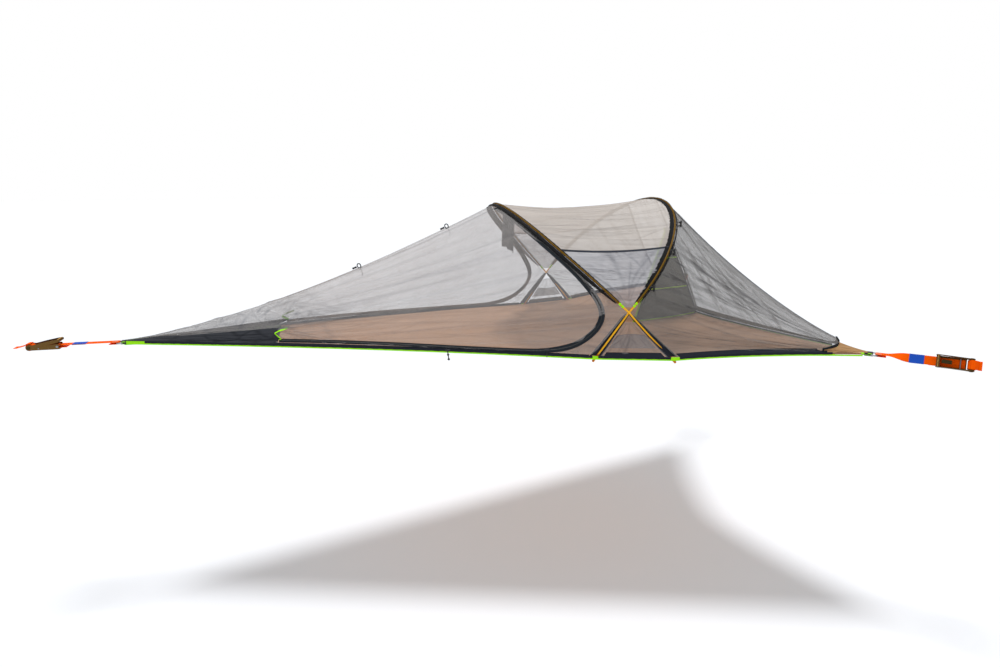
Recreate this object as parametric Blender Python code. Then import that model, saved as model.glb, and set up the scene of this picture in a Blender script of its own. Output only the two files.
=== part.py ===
"""Three-anchor suspended tree tent: two crossing pole hoops over a triangular floor.

Frame: X runs from the tip anchor to the rear edge, -Y is the near side, Z is up.
The origin is the cut end of the tip strap, where the tent is tied to its first tree.
All lengths are metres.
"""
import bmesh
import bpy
import numpy as np
from mathutils import Matrix, Vector

# Driving dimensions of the plan and of the pole hoops
TENT_LENGTH = 4.10
REAR_WIDTH = 2.43
FRONT_FOOT_X = 2.642
REAR_FOOT_X = 3.071
FOOT_DROP = 0.060
EDGE_DROP = 0.045
CROSS_X = 2.835
CROSS_HEIGHT = 0.205
FRONT_HOOP_HEIGHT = 0.775
REAR_HOOP_HEIGHT = 0.800
FRONT_APEX_SHIFT = -0.070
REAR_APEX_SHIFT = 0.072
REAR_RIDGE_SPREAD = 0.300
REAR_EDGE_BOW = 0.390
ROOF_SAG = 0.045
FLOOR_SAG = 0.080

# Stock: poles, webbing, cloth and the clearances between pieces
POLE_D = 0.0102
SLEEVE_WALL = 0.0012
TIP_WALL = 0.0016
TIP_OVERHANG = 0.012
EDGE_WEB_HEIGHT = 0.020
EDGE_WEB_T = 0.0030
CLOTH_T = 0.0016
FLOOR_T = 0.0020
CLEARANCE = 0.0003
SLEEVE_CLEARANCE = 0.0008
NOTCH_DEPTH = 0.042
NOTCH_HALF_LENGTH = 0.035
CORNER_CUT = 0.085

# Anchor straps and ratchets
TIP_STRAP_LENGTH = 0.305
REAR_STRAP_LENGTH = 0.282
STRAP_WIDTH = 0.048
STRAP_T = 0.0028
RING_BAR_D = 0.008
RING_LENGTH = 0.036
RING_WIDTH = 0.066
CORNER_START = 0.036
REAR_CORNER_START = 0.060
RING_CORNER_R = 0.008
CORNER_LOOP_LENGTH = 0.110
EYE_TAIL = 0.045
FRAME_LENGTH = 0.165
FRAME_WIDTH = 0.060
FRAME_HEIGHT = 0.031
FRAME_WALL = 0.0025
BOLT_D = 0.010
SPINDLE_D = 0.022
SPINDLE_END = 0.004
HANDLE_REACH = 0.165
HANDLE_DEPTH = 0.020
HANDLE_WALL = 0.0030
HANDLE_GRIP = 0.022
HANDLE_TILT = 0.22
HUB_D = 0.018
SPINDLE_FROM_END = 0.022
TIP_TAIL_LENGTH = 0.080
REAR_TAIL_LENGTH = 0.045
TWIST_LENGTH = 0.120

# Smaller pieces
SKIRT_HEIGHT = 0.012
ZIP_HEIGHT = 0.020
ZIP_GAP = 0.0004
DOOR_GAP = 0.0006
TIP_PATCH_SHARE = 0.330
REAR_START_SHARE = 0.055
REAR_WALL_START_SHARE = 0.012
ZIP_START_SHARE = 0.36
SLIDER_SHARE = 0.90
SLIDER_LENGTH = 0.030
SLIDER_WIDTH = 0.014
SLIDER_T = 0.006
SEAM_SHARE = 0.0010
DOOR_GAP_SHARE = 0.0030
POCKET_SIDE_SHARE = 0.06
DIVIDER_TOP_SHARE = 0.97
SIDE_SPAN_SHARES = (0.0, 0.172)
POCKET_SPAN_SHARES = (0.040, 0.105)
POCKET_BULGE = 0.030
DIVIDER_FRONT_X = 3.230
DIVIDER_REAR_X = 3.650
DIVIDER_TOP_X = 3.355
DIVIDER_HEIGHT = 0.520
FLAP_DROP = 0.210
FLAP_FOLD = 0.010
RING_TOGGLE_D = 0.026
RING_TOGGLE_BAR = 0.0035
RING_TOGGLE_X = 1.394

# Shares of the hoop's run from foot to apex, and exponents of the hanging lines
CROSS_WIDTH_SHARE = 0.6584
CROSS_SHARE = 0.22
TIP_SHARE = 0.028
SLEEVE_START_SHARE = 0.268
CLIP_SPAN_SHARES = (0.250, 0.266)
ARCH_STEPS = 14
GUSSET_STEPS = (1, 5)
FRONT_SHOULDER_SHARE = 0.15
REAR_SHOULDER_SHARE = -0.04
RIDGE_POWER = 1.43
EDGE_POWER = 2.4
WALL_POWER = 0.9
BOW_POWER = 1.4

# Angle under which two faces are shaded as one round surface, in radians
SMOOTH_ANGLE = 0.9
# Angle by which a rear strap and its ratchet are turned to face away from the tent, in radians
STRAP_ROLL = 1.2

CROSS_HALF_WIDTH = REAR_WIDTH / 2 * CROSS_WIDTH_SHARE
POLE_R = POLE_D / 2
SLEEVE_IN = POLE_R + SLEEVE_CLEARANCE
SLEEVE_R = SLEEVE_IN + SLEEVE_WALL
TIP_R = POLE_R + CLEARANCE + TIP_WALL
EDGE_OUTSET = TIP_R - CLEARANCE + EDGE_WEB_T / 2
PANEL_LIFT = EDGE_WEB_HEIGHT / 2 + CLEARANCE + CLOTH_T / 2
LEG_TO_PANEL = PANEL_LIFT + FOOT_DROP - EDGE_DROP
CROSS_STEP = POLE_R + CLEARANCE * 3
SPINDLE_X = FRAME_LENGTH - SPINDLE_FROM_END
SEAT_R = SLEEVE_R + CLEARANCE + CLOTH_T / 2
FLOOR_START = CORNER_START * 4
AFTER_TIP_SHARE = TIP_PATCH_SHARE + SEAM_SHARE / 4
TANGENT_STEP = TIP_SHARE / 4

# Shares at which the hoops, and all that is sewn to them, have their points
ARCH_SHARES = np.linspace(SLEEVE_START_SHARE, 1, ARCH_STEPS + 1)
LEG_SHARES = np.array([0, TIP_SHARE, CROSS_SHARE / 2, CROSS_SHARE, *CLIP_SPAN_SHARES])
POLE_SHARES = np.concatenate([LEG_SHARES, ARCH_SHARES])
DOOR_TOP_SHARE = ARCH_SHARES[-2] - DOOR_GAP_SHARE
RIDGE_BOTTOM_SHARE = ARCH_SHARES[-2] + DOOR_GAP_SHARE


# Distance from the floor's tip to the cut end of its strap
TIP_X = RING_LENGTH / 2 + TIP_STRAP_LENGTH + SPINDLE_X + TIP_TAIL_LENGTH
TIP = np.array([TIP_X, 0, 0])
REAR_CORNER = np.array([TIP_X + TENT_LENGTH, REAR_WIDTH / 2, 0])


def material(name, colour, roughness, metallic=0.0):
    """A Principled material of one colour, given as sRGB shares."""
    m = bpy.data.materials.new(name)
    m.use_nodes = True
    shader = m.node_tree.nodes["Principled BSDF"]
    linear = [c / 12.92 if c <= 0.04045 else ((c + 0.055) / 1.055) ** 2.4 for c in colour]
    shader.inputs["Base Color"].default_value = (*linear, 1)
    shader.inputs["Roughness"].default_value = roughness
    shader.inputs["Metallic"].default_value = metallic
    return m


def finish(name, verts, faces, mat, smooth=False):
    """One named object from world points and faces."""
    mesh = bpy.data.meshes.new(name)
    mesh.from_pydata([tuple(v) for v in verts], [], [tuple(f) for f in faces])
    mesh.materials.append(mat)
    mesh.validate()
    ob = bpy.data.objects.new(name, mesh)
    bpy.context.collection.objects.link(ob)
    if smooth:
        mesh.shade_smooth()
        mesh.set_sharp_from_angle(angle=SMOOTH_ANGLE)
    return ob


def recalc(ob):
    """Turn the faces of a closed mesh outwards."""
    bm = bmesh.new()
    bm.from_mesh(ob.data)
    bmesh.ops.recalc_face_normals(bm, faces=bm.faces)
    bm.to_mesh(ob.data)
    bm.free()
    return ob


def sheet(name, grid, thickness, mat):
    """A cloth solid: a grid of points given its thickness by Solidify, half on each side."""
    rows, cols = grid.shape[:2]
    faces = [
        (i * cols + j, i * cols + j + 1, (i + 1) * cols + j + 1, (i + 1) * cols + j)
        for i in range(rows - 1)
        for j in range(cols - 1)
    ]
    ob = finish(name, grid.reshape(-1, 3), faces, mat)
    wall = ob.modifiers.new("cloth", "SOLIDIFY")
    wall.thickness = thickness
    wall.offset = 0
    wall.use_even_offset = False
    wall.use_rim = True
    return ob


def place(ob, origin):
    """Move an object's origin to a point and leave its shape where it is."""
    ob.data.transform(Matrix.Translation(-Vector(origin)))
    ob.location = Vector(origin)
    return ob


def hoop_rings(which, shares, side, radius, sides=8):
    """Rings of points round a hoop: equal shares give equal ring planes, so pieces nest."""
    step = TANGENT_STEP
    centre = hoop(which, shares, side)
    t = hoop(which, shares + step, side) - hoop(which, shares - step, side)
    if shares[-1] == 1:
        t[-1] = np.array([0, -side, 0])
    t /= np.linalg.norm(t, axis=1)[:, None]
    across = np.cross(t, [1, 0, 0])
    across /= np.linalg.norm(across, axis=1)[:, None]
    other = np.cross(t, across)
    a = np.linspace(0, 2 * np.pi, sides, endpoint=False)
    return (
        centre[:, None]
        + radius * np.cos(a)[None, :, None] * across[:, None] * -side
        + radius * np.sin(a)[None, :, None] * other[:, None]
    )


def skin(name, rings, mat, hollow=False):
    """Rings joined in order: capped at both ends, or closed from the last ring to the first."""
    n, sides = rings.shape[:2]
    pairs = [(i, i + 1) for i in range(n - 1)] + ([(n - 1, 0)] if hollow else [])
    faces = [
        (i * sides + j, i * sides + (j + 1) % sides, k * sides + (j + 1) % sides, k * sides + j)
        for i, k in pairs
        for j in range(sides)
    ]
    if not hollow:
        faces += [tuple(range(sides)), tuple(range((n - 1) * sides, n * sides))]
    return recalc(finish(name, rings.reshape(-1, 3), faces, mat, smooth=True))


def whole_hoop(which, shares, radius):
    """Rings from a share on the near side, over the apex, to the same share on the far side."""
    near = hoop_rings(which, shares, -1, radius)
    far = hoop_rings(which, shares, 1, radius)
    return np.concatenate([near, far[::-1][1:]])


def ribbon(name, path, width, thickness, mat, across, up):
    """Flat webbing along a path: its width runs across, its thickness runs along up."""
    across = np.broadcast_to(across, path.shape)
    up = np.broadcast_to(up, path.shape)
    w, h = width / 2, thickness / 2
    ring = np.stack(
        [
            path - across * w - up * h,
            path + across * w - up * h,
            path + across * w + up * h,
            path - across * w + up * h,
        ],
        axis=1,
    )
    n = len(path)
    faces = [
        (i * 4 + j, i * 4 + (j + 1) % 4, (i + 1) * 4 + (j + 1) % 4, (i + 1) * 4 + j)
        for i in range(n - 1)
        for j in range(4)
    ]
    faces += [(0, 1, 2, 3), tuple(range((n - 1) * 4, n * 4))]
    return recalc(finish(name, ring.reshape(-1, 3), faces, mat))


def hoop(which, t, side=-1):
    """Points of a pole hoop at shares t of its run from foot to apex, on one side.

    Below the crossing the leg follows a parabola out to its foot. Above it the hoop is an
    ellipse quarter, drawn in or pushed out at the shoulder by a sine of twice the angle, and it
    leans a little further away from the other hoop than its leg does.
    """
    t = np.asarray(t, float)
    front = which == "front"
    foot_x = TIP_X + (REAR_FOOT_X if front else FRONT_FOOT_X)
    foot_y = REAR_WIDTH / 2 * (foot_x - TIP_X) / TENT_LENGTH
    top = FRONT_HOOP_HEIGHT if front else REAR_HOOP_HEIGHT
    shoulder = FRONT_SHOULDER_SHARE if front else REAR_SHOULDER_SHARE
    cross_y = CROSS_HALF_WIDTH + (CROSS_STEP if front else -CROSS_STEP)
    lean = (TIP_X + CROSS_X - foot_x) / (CROSS_HEIGHT + FOOT_DROP)
    a = np.clip(t / CROSS_SHARE, None, 1)
    angle = np.clip((t - CROSS_SHARE) / (1 - CROSS_SHARE), 0, 1) * np.pi / 2
    y = np.where(
        t < CROSS_SHARE,
        cross_y + (foot_y - cross_y) * (1 - a) ** 2,
        cross_y * np.cos(angle) * (1 - shoulder * np.sin(2 * angle)),
    )
    z = np.where(
        t < CROSS_SHARE,
        -FOOT_DROP + (CROSS_HEIGHT + FOOT_DROP) * a,
        CROSS_HEIGHT + (top - CROSS_HEIGHT) * np.sin(angle),
    )
    shift = FRONT_APEX_SHIFT if front else REAR_APEX_SHIFT
    x = foot_x + lean * (z + FOOT_DROP) + shift * np.sin(angle)
    return np.stack([x, side * y, z], -1)


def edge_inward(side):
    """Level unit vector from a long edge towards the middle of the tent."""
    v = np.array([REAR_WIDTH / 2, -side * TENT_LENGTH, 0])
    return v / np.linalg.norm(v)


def rail(which, v, side):
    """The line that a panel is sewn to: up one hoop's leg to the crossing, then up the other.

    v runs from 0 at the foot to 1 at the apex. Near the foot the line moves out to the webbing
    and up to its top edge.
    """
    v = np.asarray(v, float)
    leg = hoop("rear" if which == "front" else "front", v, side)
    arch = hoop(which, v, side)
    low = (v < CROSS_SHARE)[..., None]
    return np.where(low, leg, arch) + to_webbing(v, side)


def to_webbing(v, side):
    """The move from a point on a leg to the same share between crossing and webbing."""
    low = np.clip(1 - np.asarray(v) / CROSS_SHARE, 0, 1)[..., None]
    return low * (np.array([0, 0, LEG_TO_PANEL]) - EDGE_OUTSET * edge_inward(side))


def seat(which, v, side, direction):
    """How far short of a pole's centre a cloth edge stops, along the direction of its threads."""
    step = TANGENT_STEP
    t = hoop(which, v + step, side) - hoop(which, v - step, side)
    t /= np.linalg.norm(t, axis=-1)[..., None]
    d = direction / np.linalg.norm(direction, axis=-1)[..., None]
    return SEAT_R / np.sqrt(1 - np.sum(t * d, axis=-1) ** 2)


def fan(which, corner, u, v, side):
    """A cloth surface whose lines hang from a corner of the floor to a hoop's rail.

    u is the share of the way to the rail. v is the share along the rail, the same for every u
    or a row for each.
    """
    v = np.broadcast_to(v, (len(u), np.shape(v)[-1]))
    start = corner + np.array([0, 0, PANEL_LIFT]) - EDGE_OUTSET * edge_inward(side)
    step = rail(which, v, side) - start
    reach = np.linalg.norm(step, axis=-1)
    s = np.asarray(u)[:, None] * (1 - seat(which, v, side, step) / reach)
    power = RIDGE_POWER + (EDGE_POWER - RIDGE_POWER) * (1 - v) ** 3
    grid = start + step * s[..., None]
    grid[..., 2] = start[2] + step[..., 2] * s**power
    middle = np.clip((v - CROSS_SHARE) / (1 - CROSS_SHARE), 0, 1) ** 2
    grid[..., 1] += middle * (1 - s) * EDGE_OUTSET * edge_inward(side)[1]
    return grid


def front_fan(u, v, side):
    return fan("front", TIP, u, v, side)


def height_shares(u, height):
    """The shares along the rail at which the front panel stands a height above its lower edge."""
    v = np.linspace(0, ARCH_SHARES[2], 100)
    z = front_fan(u, v, -1)[..., 2]
    return np.array([np.interp(height, row - row[0], v) for row in z])


def rear_top_share():
    """The share of the rear hoop at which the two rear ridges leave it."""
    y = hoop("rear", ARCH_SHARES, 1)[:, 1]
    return ARCH_SHARES[np.argmin(np.abs(y - REAR_RIDGE_SPREAD))]


def edge_path(side):
    """Centre line of a long edge's webbing: it dips to the two pole feet and rises again."""
    x = np.concatenate(
        [
            np.linspace(CORNER_START, FRONT_FOOT_X, 16),
            np.linspace(FRONT_FOOT_X, REAR_FOOT_X, 4)[1:],
            np.linspace(REAR_FOOT_X, TENT_LENGTH - REAR_CORNER_START, 9)[1:],
        ]
    )
    line = np.stack([TIP_X + x, side * REAR_WIDTH / 2 * x / TENT_LENGTH, -edge_drop(x)], -1)
    return line - EDGE_OUTSET * edge_inward(side)


def edge_drop(x):
    """How far a long edge hangs below the corners, at a distance x from the tip."""
    front = np.clip(x / FRONT_FOOT_X, 0, 1)
    rear = np.clip((TENT_LENGTH - x) / (TENT_LENGTH - REAR_FOOT_X), 0, 1)
    return EDGE_DROP * np.minimum(front, rear) ** EDGE_POWER


# Colours as sRGB shares
MESH_PALE = material("mesh_pale", (0.80, 0.78, 0.76), 0.85)
MESH_GREY = material("mesh_grey", (0.60, 0.60, 0.59), 0.85)
FLOOR_TAN = material("floor_tan", (0.61, 0.48, 0.35), 0.80)
TIP_GREY = material("tip_grey", (0.29, 0.30, 0.31), 0.75)
LIME_WEB = material("lime_webbing", (0.56, 0.90, 0.10), 0.70)
BLACK_ZIP = material("black_zip", (0.11, 0.13, 0.16), 0.60)
SLEEVE_BLACK = material("sleeve_black", (0.12, 0.12, 0.12), 0.80)
POLE_ORANGE = material("pole_orange", (0.90, 0.45, 0.05), 0.30, 0.6)
ORANGE_WEB = material("orange_webbing", (1.0, 0.35, 0.04), 0.70)
STEEL = material("bronze_zinc", (0.42, 0.34, 0.22), 0.35, 0.9)
SILVER = material("silver_steel", (0.75, 0.75, 0.76), 0.25, 1.0)
POCKET_GREEN = material("pocket_green", (0.49, 0.49, 0.45), 0.85)


def bow(w):
    """How far the rear edge is cut in, at a share w of the way from its middle to a corner."""
    return REAR_EDGE_BOW * (1 - np.abs(w) ** BOW_POWER)


def rear_edge():
    """Points along the floor's curved rear edge, from the near cut corner to the far one."""
    w = np.linspace(-1, 1, 11) * (1 - CORNER_CUT / (REAR_WIDTH / 2))
    return np.stack([REAR_CORNER[0] - bow(w), w * REAR_WIDTH / 2, np.zeros_like(w)], -1)


def floor_middle(x):
    """The floor's place along its middle line before and after the rear edge is cut in."""
    ramp = np.clip((x - REAR_FOOT_X) / (TENT_LENGTH - REAR_FOOT_X), 0, 1)
    return x - bow(0) * ramp**2, -FLOOR_SAG * np.sin(np.pi * x / TENT_LENGTH)


def build_floor():
    """The triangular floor: it sags in the middle and is notched where a pole foot passes it."""
    notch = np.array([-1, -0.5, 0.5, 1]) * NOTCH_HALF_LENGTH
    feet = [foot + d for foot in (FRONT_FOOT_X, REAR_FOOT_X) for d in notch]
    rest = np.concatenate(
        [
            np.linspace(FLOOR_START, FRONT_FOOT_X - NOTCH_HALF_LENGTH, 14)[:-1],
            [(FRONT_FOOT_X + REAR_FOOT_X) / 2],
            np.linspace(REAR_FOOT_X + NOTCH_HALF_LENGTH, TENT_LENGTH - CORNER_CUT, 6)[1:],
            [TENT_LENGTH],
        ]
    )
    x = np.sort(np.concatenate([feet, rest]))
    w = np.linspace(-1, 1, 11)
    clear = EDGE_WEB_T / 2 + CLEARANCE * 2
    half = REAR_WIDTH / 2 * x / TENT_LENGTH + (EDGE_OUTSET - clear) / abs(edge_inward(-1)[1])
    for foot in (FRONT_FOOT_X, REAR_FOOT_X):
        half -= NOTCH_DEPTH * (np.abs(x - foot) < NOTCH_HALF_LENGTH * 3 / 4)
    half -= np.clip(x - TENT_LENGTH + CORNER_CUT, 0, None)
    middle, sag = floor_middle(x)
    grid = np.zeros((len(x), len(w), 3))
    grid[..., 0] = TIP_X + x[:, None] + (middle - x)[:, None] * (bow(w) / bow(0))[None]
    grid[..., 1] = half[:, None] * w[None]
    grid[..., 2] = -edge_drop(x)[:, None] * w[None] ** 2 + sag[:, None] * (1 - w[None] ** 2)
    grid[-1] = rear_edge()
    sheet("floor_panel", grid, FLOOR_T, FLOOR_TAN)


def build_edges():
    for side, name in ((-1, "near"), (1, "far")):
        path = edge_path(side)
        ribbon(
            f"{name}_edge_webbing",
            path,
            EDGE_WEB_T,
            EDGE_WEB_HEIGHT,
            LIME_WEB,
            across=edge_inward(side),
            up=np.array([0, 0, 1]),
        )
    rear = rear_edge()
    away = np.cross(np.gradient(rear, axis=0), [0, 0, 1])
    away /= np.linalg.norm(away, axis=1)[:, None]
    rear = rear + away * (EDGE_WEB_T / 2 + CLEARANCE * 2)
    up = np.array([0, 0, 1])
    ribbon("rear_edge_webbing", rear, EDGE_WEB_T, EDGE_WEB_HEIGHT, LIME_WEB, across=away, up=up)


def build_hoops():
    """Two poles, each in a sleeve over its arch, with clips at the sleeve ends and turned tips."""
    bore = POLE_R + CLEARANCE
    for which in ("front", "rear"):
        skin(f"{which}_pole", whole_hoop(which, POLE_SHARES, POLE_R), POLE_ORANGE)
        outside = whole_hoop(which, ARCH_SHARES, SLEEVE_R)
        inside = whole_hoop(which, ARCH_SHARES, SLEEVE_IN)
        skin(f"{which}_sleeve", np.concatenate([outside, inside[::-1]]), SLEEVE_BLACK, hollow=True)
        for side, name in ((-1, "near"), (1, "far")):
            clip = np.array(CLIP_SPAN_SHARES)
            outside = hoop_rings(which, clip, side, SLEEVE_R)
            inside = hoop_rings(which, clip, side, bore)
            rings = np.concatenate([outside, inside[::-1]])
            skin(f"{name}_{which}_sleeve_clip", rings, LIME_WEB, hollow=True)
            build_pole_tip(f"{name}_{which}_pole_tip", which, side)


def build_pole_tip(name, which, side):
    """A turned cup over a pole's end: a blunt nose, a wall, and an open mouth for the pole."""
    span = np.array([0, TIP_SHARE])
    bore = POLE_R + CLEARANCE
    wall = hoop_rings(which, span, side, TIP_R)
    inner = hoop_rings(which, span, side, bore)
    down = hoop(which, np.array([0.0]), side) - hoop(which, np.array([TANGENT_STEP]), side)
    down = down[0] / np.linalg.norm(down[0])
    nose = hoop_rings(which, span[:1], side, POLE_R) + down * TIP_OVERHANG
    shoulder = wall[:1] + down * (TIP_OVERHANG - TIP_WALL)
    bed = inner[:1] + down * CLEARANCE
    skin(name, np.concatenate([nose, shoulder, wall, inner[::-1][:1], bed]), SILVER)


def build_front():
    """Skirts, zips, doors, the ridge strip and the tip patch, all on one surface each side."""
    base = np.concatenate([np.linspace(0, CROSS_SHARE, 4), ARCH_SHARES[:-2], [DOOR_TOP_SHARE]])
    for side, name in ((-1, "near"), (1, "far")):
        u = np.linspace(AFTER_TIP_SHARE, 1, 14)
        skirt = height_shares(u, SKIRT_HEIGHT)[:, None] * np.linspace(0, 1, 3)
        sheet(f"{name}_skirt", front_fan(u, skirt, side), CLOTH_T, TIP_GREY)
        u = np.linspace(ZIP_START_SHARE, 1, 13)
        low = height_shares(u, SKIRT_HEIGHT + ZIP_GAP)
        high = height_shares(u, SKIRT_HEIGHT + ZIP_GAP + ZIP_HEIGHT)
        zip_shares = np.stack([low, (low + high) / 2, high], -1)
        sheet(f"{name}_door_zip", front_fan(u, zip_shares, side), CLOTH_T, BLACK_ZIP)
        u = np.linspace(AFTER_TIP_SHARE, 1, 14)
        low = height_shares(u, SKIRT_HEIGHT + ZIP_GAP + ZIP_HEIGHT + DOOR_GAP)[:, None]
        v = np.concatenate([low, np.maximum(base[2:], low + (base[2:] - base[1]) / 2)], axis=1)
        door = sheet(f"{name}_door", front_fan(u, v, side), CLOTH_T, MESH_PALE)
        top = front_fan(np.array([AFTER_TIP_SHARE, 1.0]), np.array([DOOR_TOP_SHARE]), side)
        place(door, top[0, 0])
        build_slider(f"{name}_zip_slider", side)
    v_ridge = np.linspace(RIDGE_BOTTOM_SHARE, 1, 3)
    u = np.linspace(AFTER_TIP_SHARE, 1, 14)
    near = front_fan(u, v_ridge, -1)
    far = front_fan(u, v_ridge, 1)[:, ::-1][:, 1:]
    sheet("ridge_strip", np.concatenate([near, far], axis=1), CLOTH_T, MESH_PALE)
    v_tip = np.concatenate([base, v_ridge])
    u_tip = np.linspace(CORNER_START / TENT_LENGTH, TIP_PATCH_SHARE, 9)
    near = front_fan(u_tip, v_tip, -1)
    far = front_fan(u_tip, v_tip, 1)[:, ::-1][:, 1:]
    sheet("tip_patch", np.concatenate([near, far], axis=1), CLOTH_T, TIP_GREY)


def build_slider(name, side):
    """A zip slider: a small block that lies on the outer face of the zip."""
    u = np.array([SLIDER_SHARE, SLIDER_SHARE + SEAM_SHARE])
    mid = height_shares(u, SKIRT_HEIGHT + ZIP_GAP + ZIP_HEIGHT / 2)[0]
    p = front_fan(u, np.array([mid, mid + SEAM_SHARE]), side)
    along = p[1, 0] - p[0, 0]
    along /= np.linalg.norm(along)
    rise = p[0, 1] - p[0, 0]
    out = np.cross(along, rise) * side * -1
    out /= np.linalg.norm(out)
    rise = np.cross(out, along)
    centre = p[0, 0] + out * (CLOTH_T / 2 + CLEARANCE * 2 + SLIDER_T / 2)
    verts = []
    for a in (-1, 1):
        for b, c in ((-1, -1), (1, -1), (1, 1), (-1, 1)):
            point = centre + along * a * SLIDER_LENGTH / 2 + rise * b * SLIDER_WIDTH / 2
            verts.append(point + out * c * SLIDER_T / 2)
    faces = [(0, 1, 2, 3), (4, 5, 6, 7), (0, 1, 5, 4), (1, 2, 6, 5), (2, 3, 7, 6), (3, 0, 4, 7)]
    ob = recalc(finish(name, verts, faces, SILVER))
    bevel = ob.modifiers.new("edges", "BEVEL")
    bevel.width = SLIDER_T / 5
    bevel.segments = 1
    return place(ob, centre)


def between_hoops(t, q, side):
    """The roof surface: rulings from the front hoop to the rear one, sagging in the middle."""
    a = hoop("front", t, side)
    b = hoop("rear", t, side)
    span = np.linalg.norm(b - a, axis=-1)
    first = seat("front", t, side, b - a) / span
    last = seat("rear", t, side, b - a) / span
    s = first[:, None] + (1 - first - last)[:, None] * np.asarray(q)[None]
    grid = a[:, None] + (b - a)[:, None] * s[..., None]
    depth = ROOF_SAG * np.clip((t - CROSS_SHARE) / (1 - CROSS_SHARE), 0, 1)
    grid[..., 2] -= depth[:, None] * 4 * s * (1 - s)
    return grid


def build_roof():
    q = np.linspace(0, 1, 7)
    low, high = GUSSET_STEPS
    t = ARCH_SHARES[low : high + 1].copy()
    t[-1] -= SEAM_SHARE
    for side, name in ((-1, "near"), (1, "far")):
        sheet(f"{name}_gusset", between_hoops(t, q, side), CLOTH_T, MESH_GREY)
    t = ARCH_SHARES[high:].copy()
    t[0] += SEAM_SHARE
    near = between_hoops(t, q, -1)
    far = between_hoops(t, q, 1)[::-1][1:]
    sheet("roof_panel", np.concatenate([near, far]), CLOTH_T, MESH_PALE)


def side_surface(t, q, side):
    """The triangle between the two legs on one side, drawn out to the webbing at its foot."""
    a = hoop("rear", t, side)
    b = hoop("front", t, side)
    span = np.linalg.norm(b - a, axis=-1)
    low = np.clip(1 - t / CROSS_SHARE, 0, 1) * LEG_TO_PANEL
    first = (seat("rear", t, side, b - a) + low) / span
    last = (seat("front", t, side, b - a) + low) / span
    s = first[:, None] + (1 - first - last)[:, None] * np.asarray(q)[None]
    grid = a[:, None] + (b - a)[:, None] * s[..., None]
    return grid + to_webbing(t, side)[:, None]


def build_sides():
    for side, name in ((-1, "near"), (1, "far")):
        t = np.linspace(*SIDE_SPAN_SHARES, 5)
        sheet(f"{name}_side_panel", side_surface(t, np.linspace(0, 1, 5), side), CLOTH_T, MESH_GREY)
        t = np.linspace(*POCKET_SPAN_SHARES, 5)
        q = np.linspace(POCKET_SIDE_SHARE, 1 - POCKET_SIDE_SHARE, 7)
        grid = side_surface(t, q, side)
        rise = np.linspace(0, 1, len(t))
        bulge = np.sin(rise * np.pi / 2)[:, None] * np.sin(q * np.pi)[None]
        depth = CLOTH_T + CLEARANCE * 2 + POCKET_BULGE * bulge
        grid = grid + depth[..., None] * edge_inward(side)
        sheet(f"{name}_side_pocket", grid, CLOTH_T, POCKET_GREEN)


def build_rear():
    top = rear_top_share()
    u = np.linspace(REAR_START_SHARE, 1, 9)
    v = np.concatenate([np.linspace(0, CROSS_SHARE, 4), ARCH_SHARES[ARCH_SHARES <= top]])
    for side, name in ((-1, "near"), (1, "far")):
        corner = REAR_CORNER * np.array([1, side, 1])
        sheet(f"{name}_rear_panel", fan("rear", corner, u, v, side), CLOTH_T, MESH_GREY)
    t = ARCH_SHARES[ARCH_SHARES >= top]
    near = hoop("rear", t, -1)
    far = hoop("rear", t, 1)[::-1][1:]
    head = np.concatenate([near, far])
    across = head[:, 1] / head[-1, 1]
    flat = np.zeros_like(across)
    foot = np.stack([REAR_CORNER[0] - bow(across), across * REAR_CORNER[1], flat], -1)
    reach = np.linalg.norm(head - foot, axis=-1)
    stop = seat("rear", t, -1, (head - foot)[: len(t)]) + CLEARANCE * 2
    stop = np.concatenate([stop, stop[::-1][1:]])
    r = np.linspace(REAR_WALL_START_SHARE, 1, 10)[:, None] * (1 - stop / reach)[None]
    grid = foot + (head - foot) * r[..., None]
    power = WALL_POWER + (RIDGE_POWER - WALL_POWER) * across**2
    grid[..., 2] = PANEL_LIFT + (head[:, 2] - PANEL_LIFT)[None] * r ** power[None]
    lap = CLOTH_T + CLEARANCE
    sheet("rear_wall", grid + np.array([lap, 0, lap]), CLOTH_T, MESH_GREY)


def build_inside():
    """The rear divider with its pockets, and the tie flap that hangs at the front apex."""
    x = np.linspace(DIVIDER_FRONT_X, DIVIDER_REAR_X, 7)
    height = np.interp(x, *floor_middle(np.linspace(0, TENT_LENGTH, 400))) + FLOOR_T / 2
    base = np.stack([TIP_X + x, np.zeros_like(x), height + CLEARANCE * 2], -1)
    head = np.array([TIP_X + DIVIDER_TOP_X, 0, DIVIDER_HEIGHT])
    rise = np.linspace(0, DIVIDER_TOP_SHARE, 7)[:, None, None]
    sheet("storage_divider", base * (1 - rise) + head * rise, CLOTH_T, POCKET_GREEN)
    head = hoop("front", ARCH_SHARES[-2:], -1) - np.array([0, 0, SLEEVE_R + CLEARANCE * 2])
    w = np.linspace(0, 1, 9)
    d = np.linspace(0, 1, 6)
    grid = head[0] + (head[1] - head[0]) * w[None, :, None] + np.zeros((len(d), 1, 3))
    grid[..., 0] += FLAP_FOLD * np.sin(w * 4 * np.pi)[None] * d[:, None]
    grid[..., 2] -= d[:, None] * FLAP_DROP
    sheet("tie_flap", grid, CLOTH_T, MESH_GREY)


def ring_path(length, width):
    """A level rectangle with round corners, four points to a corner."""
    points = []
    r = RING_CORNER_R
    for k, (cx, cy) in enumerate(((1, 1), (-1, 1), (-1, -1), (1, -1))):
        for a in np.linspace(k, k + 1, 4) * np.pi / 2:
            x = cx * (length / 2 - r) + r * np.cos(a)
            y = cy * (width / 2 - r) + r * np.sin(a)
            points.append((x, y, 0))
    return np.array(points)


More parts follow.
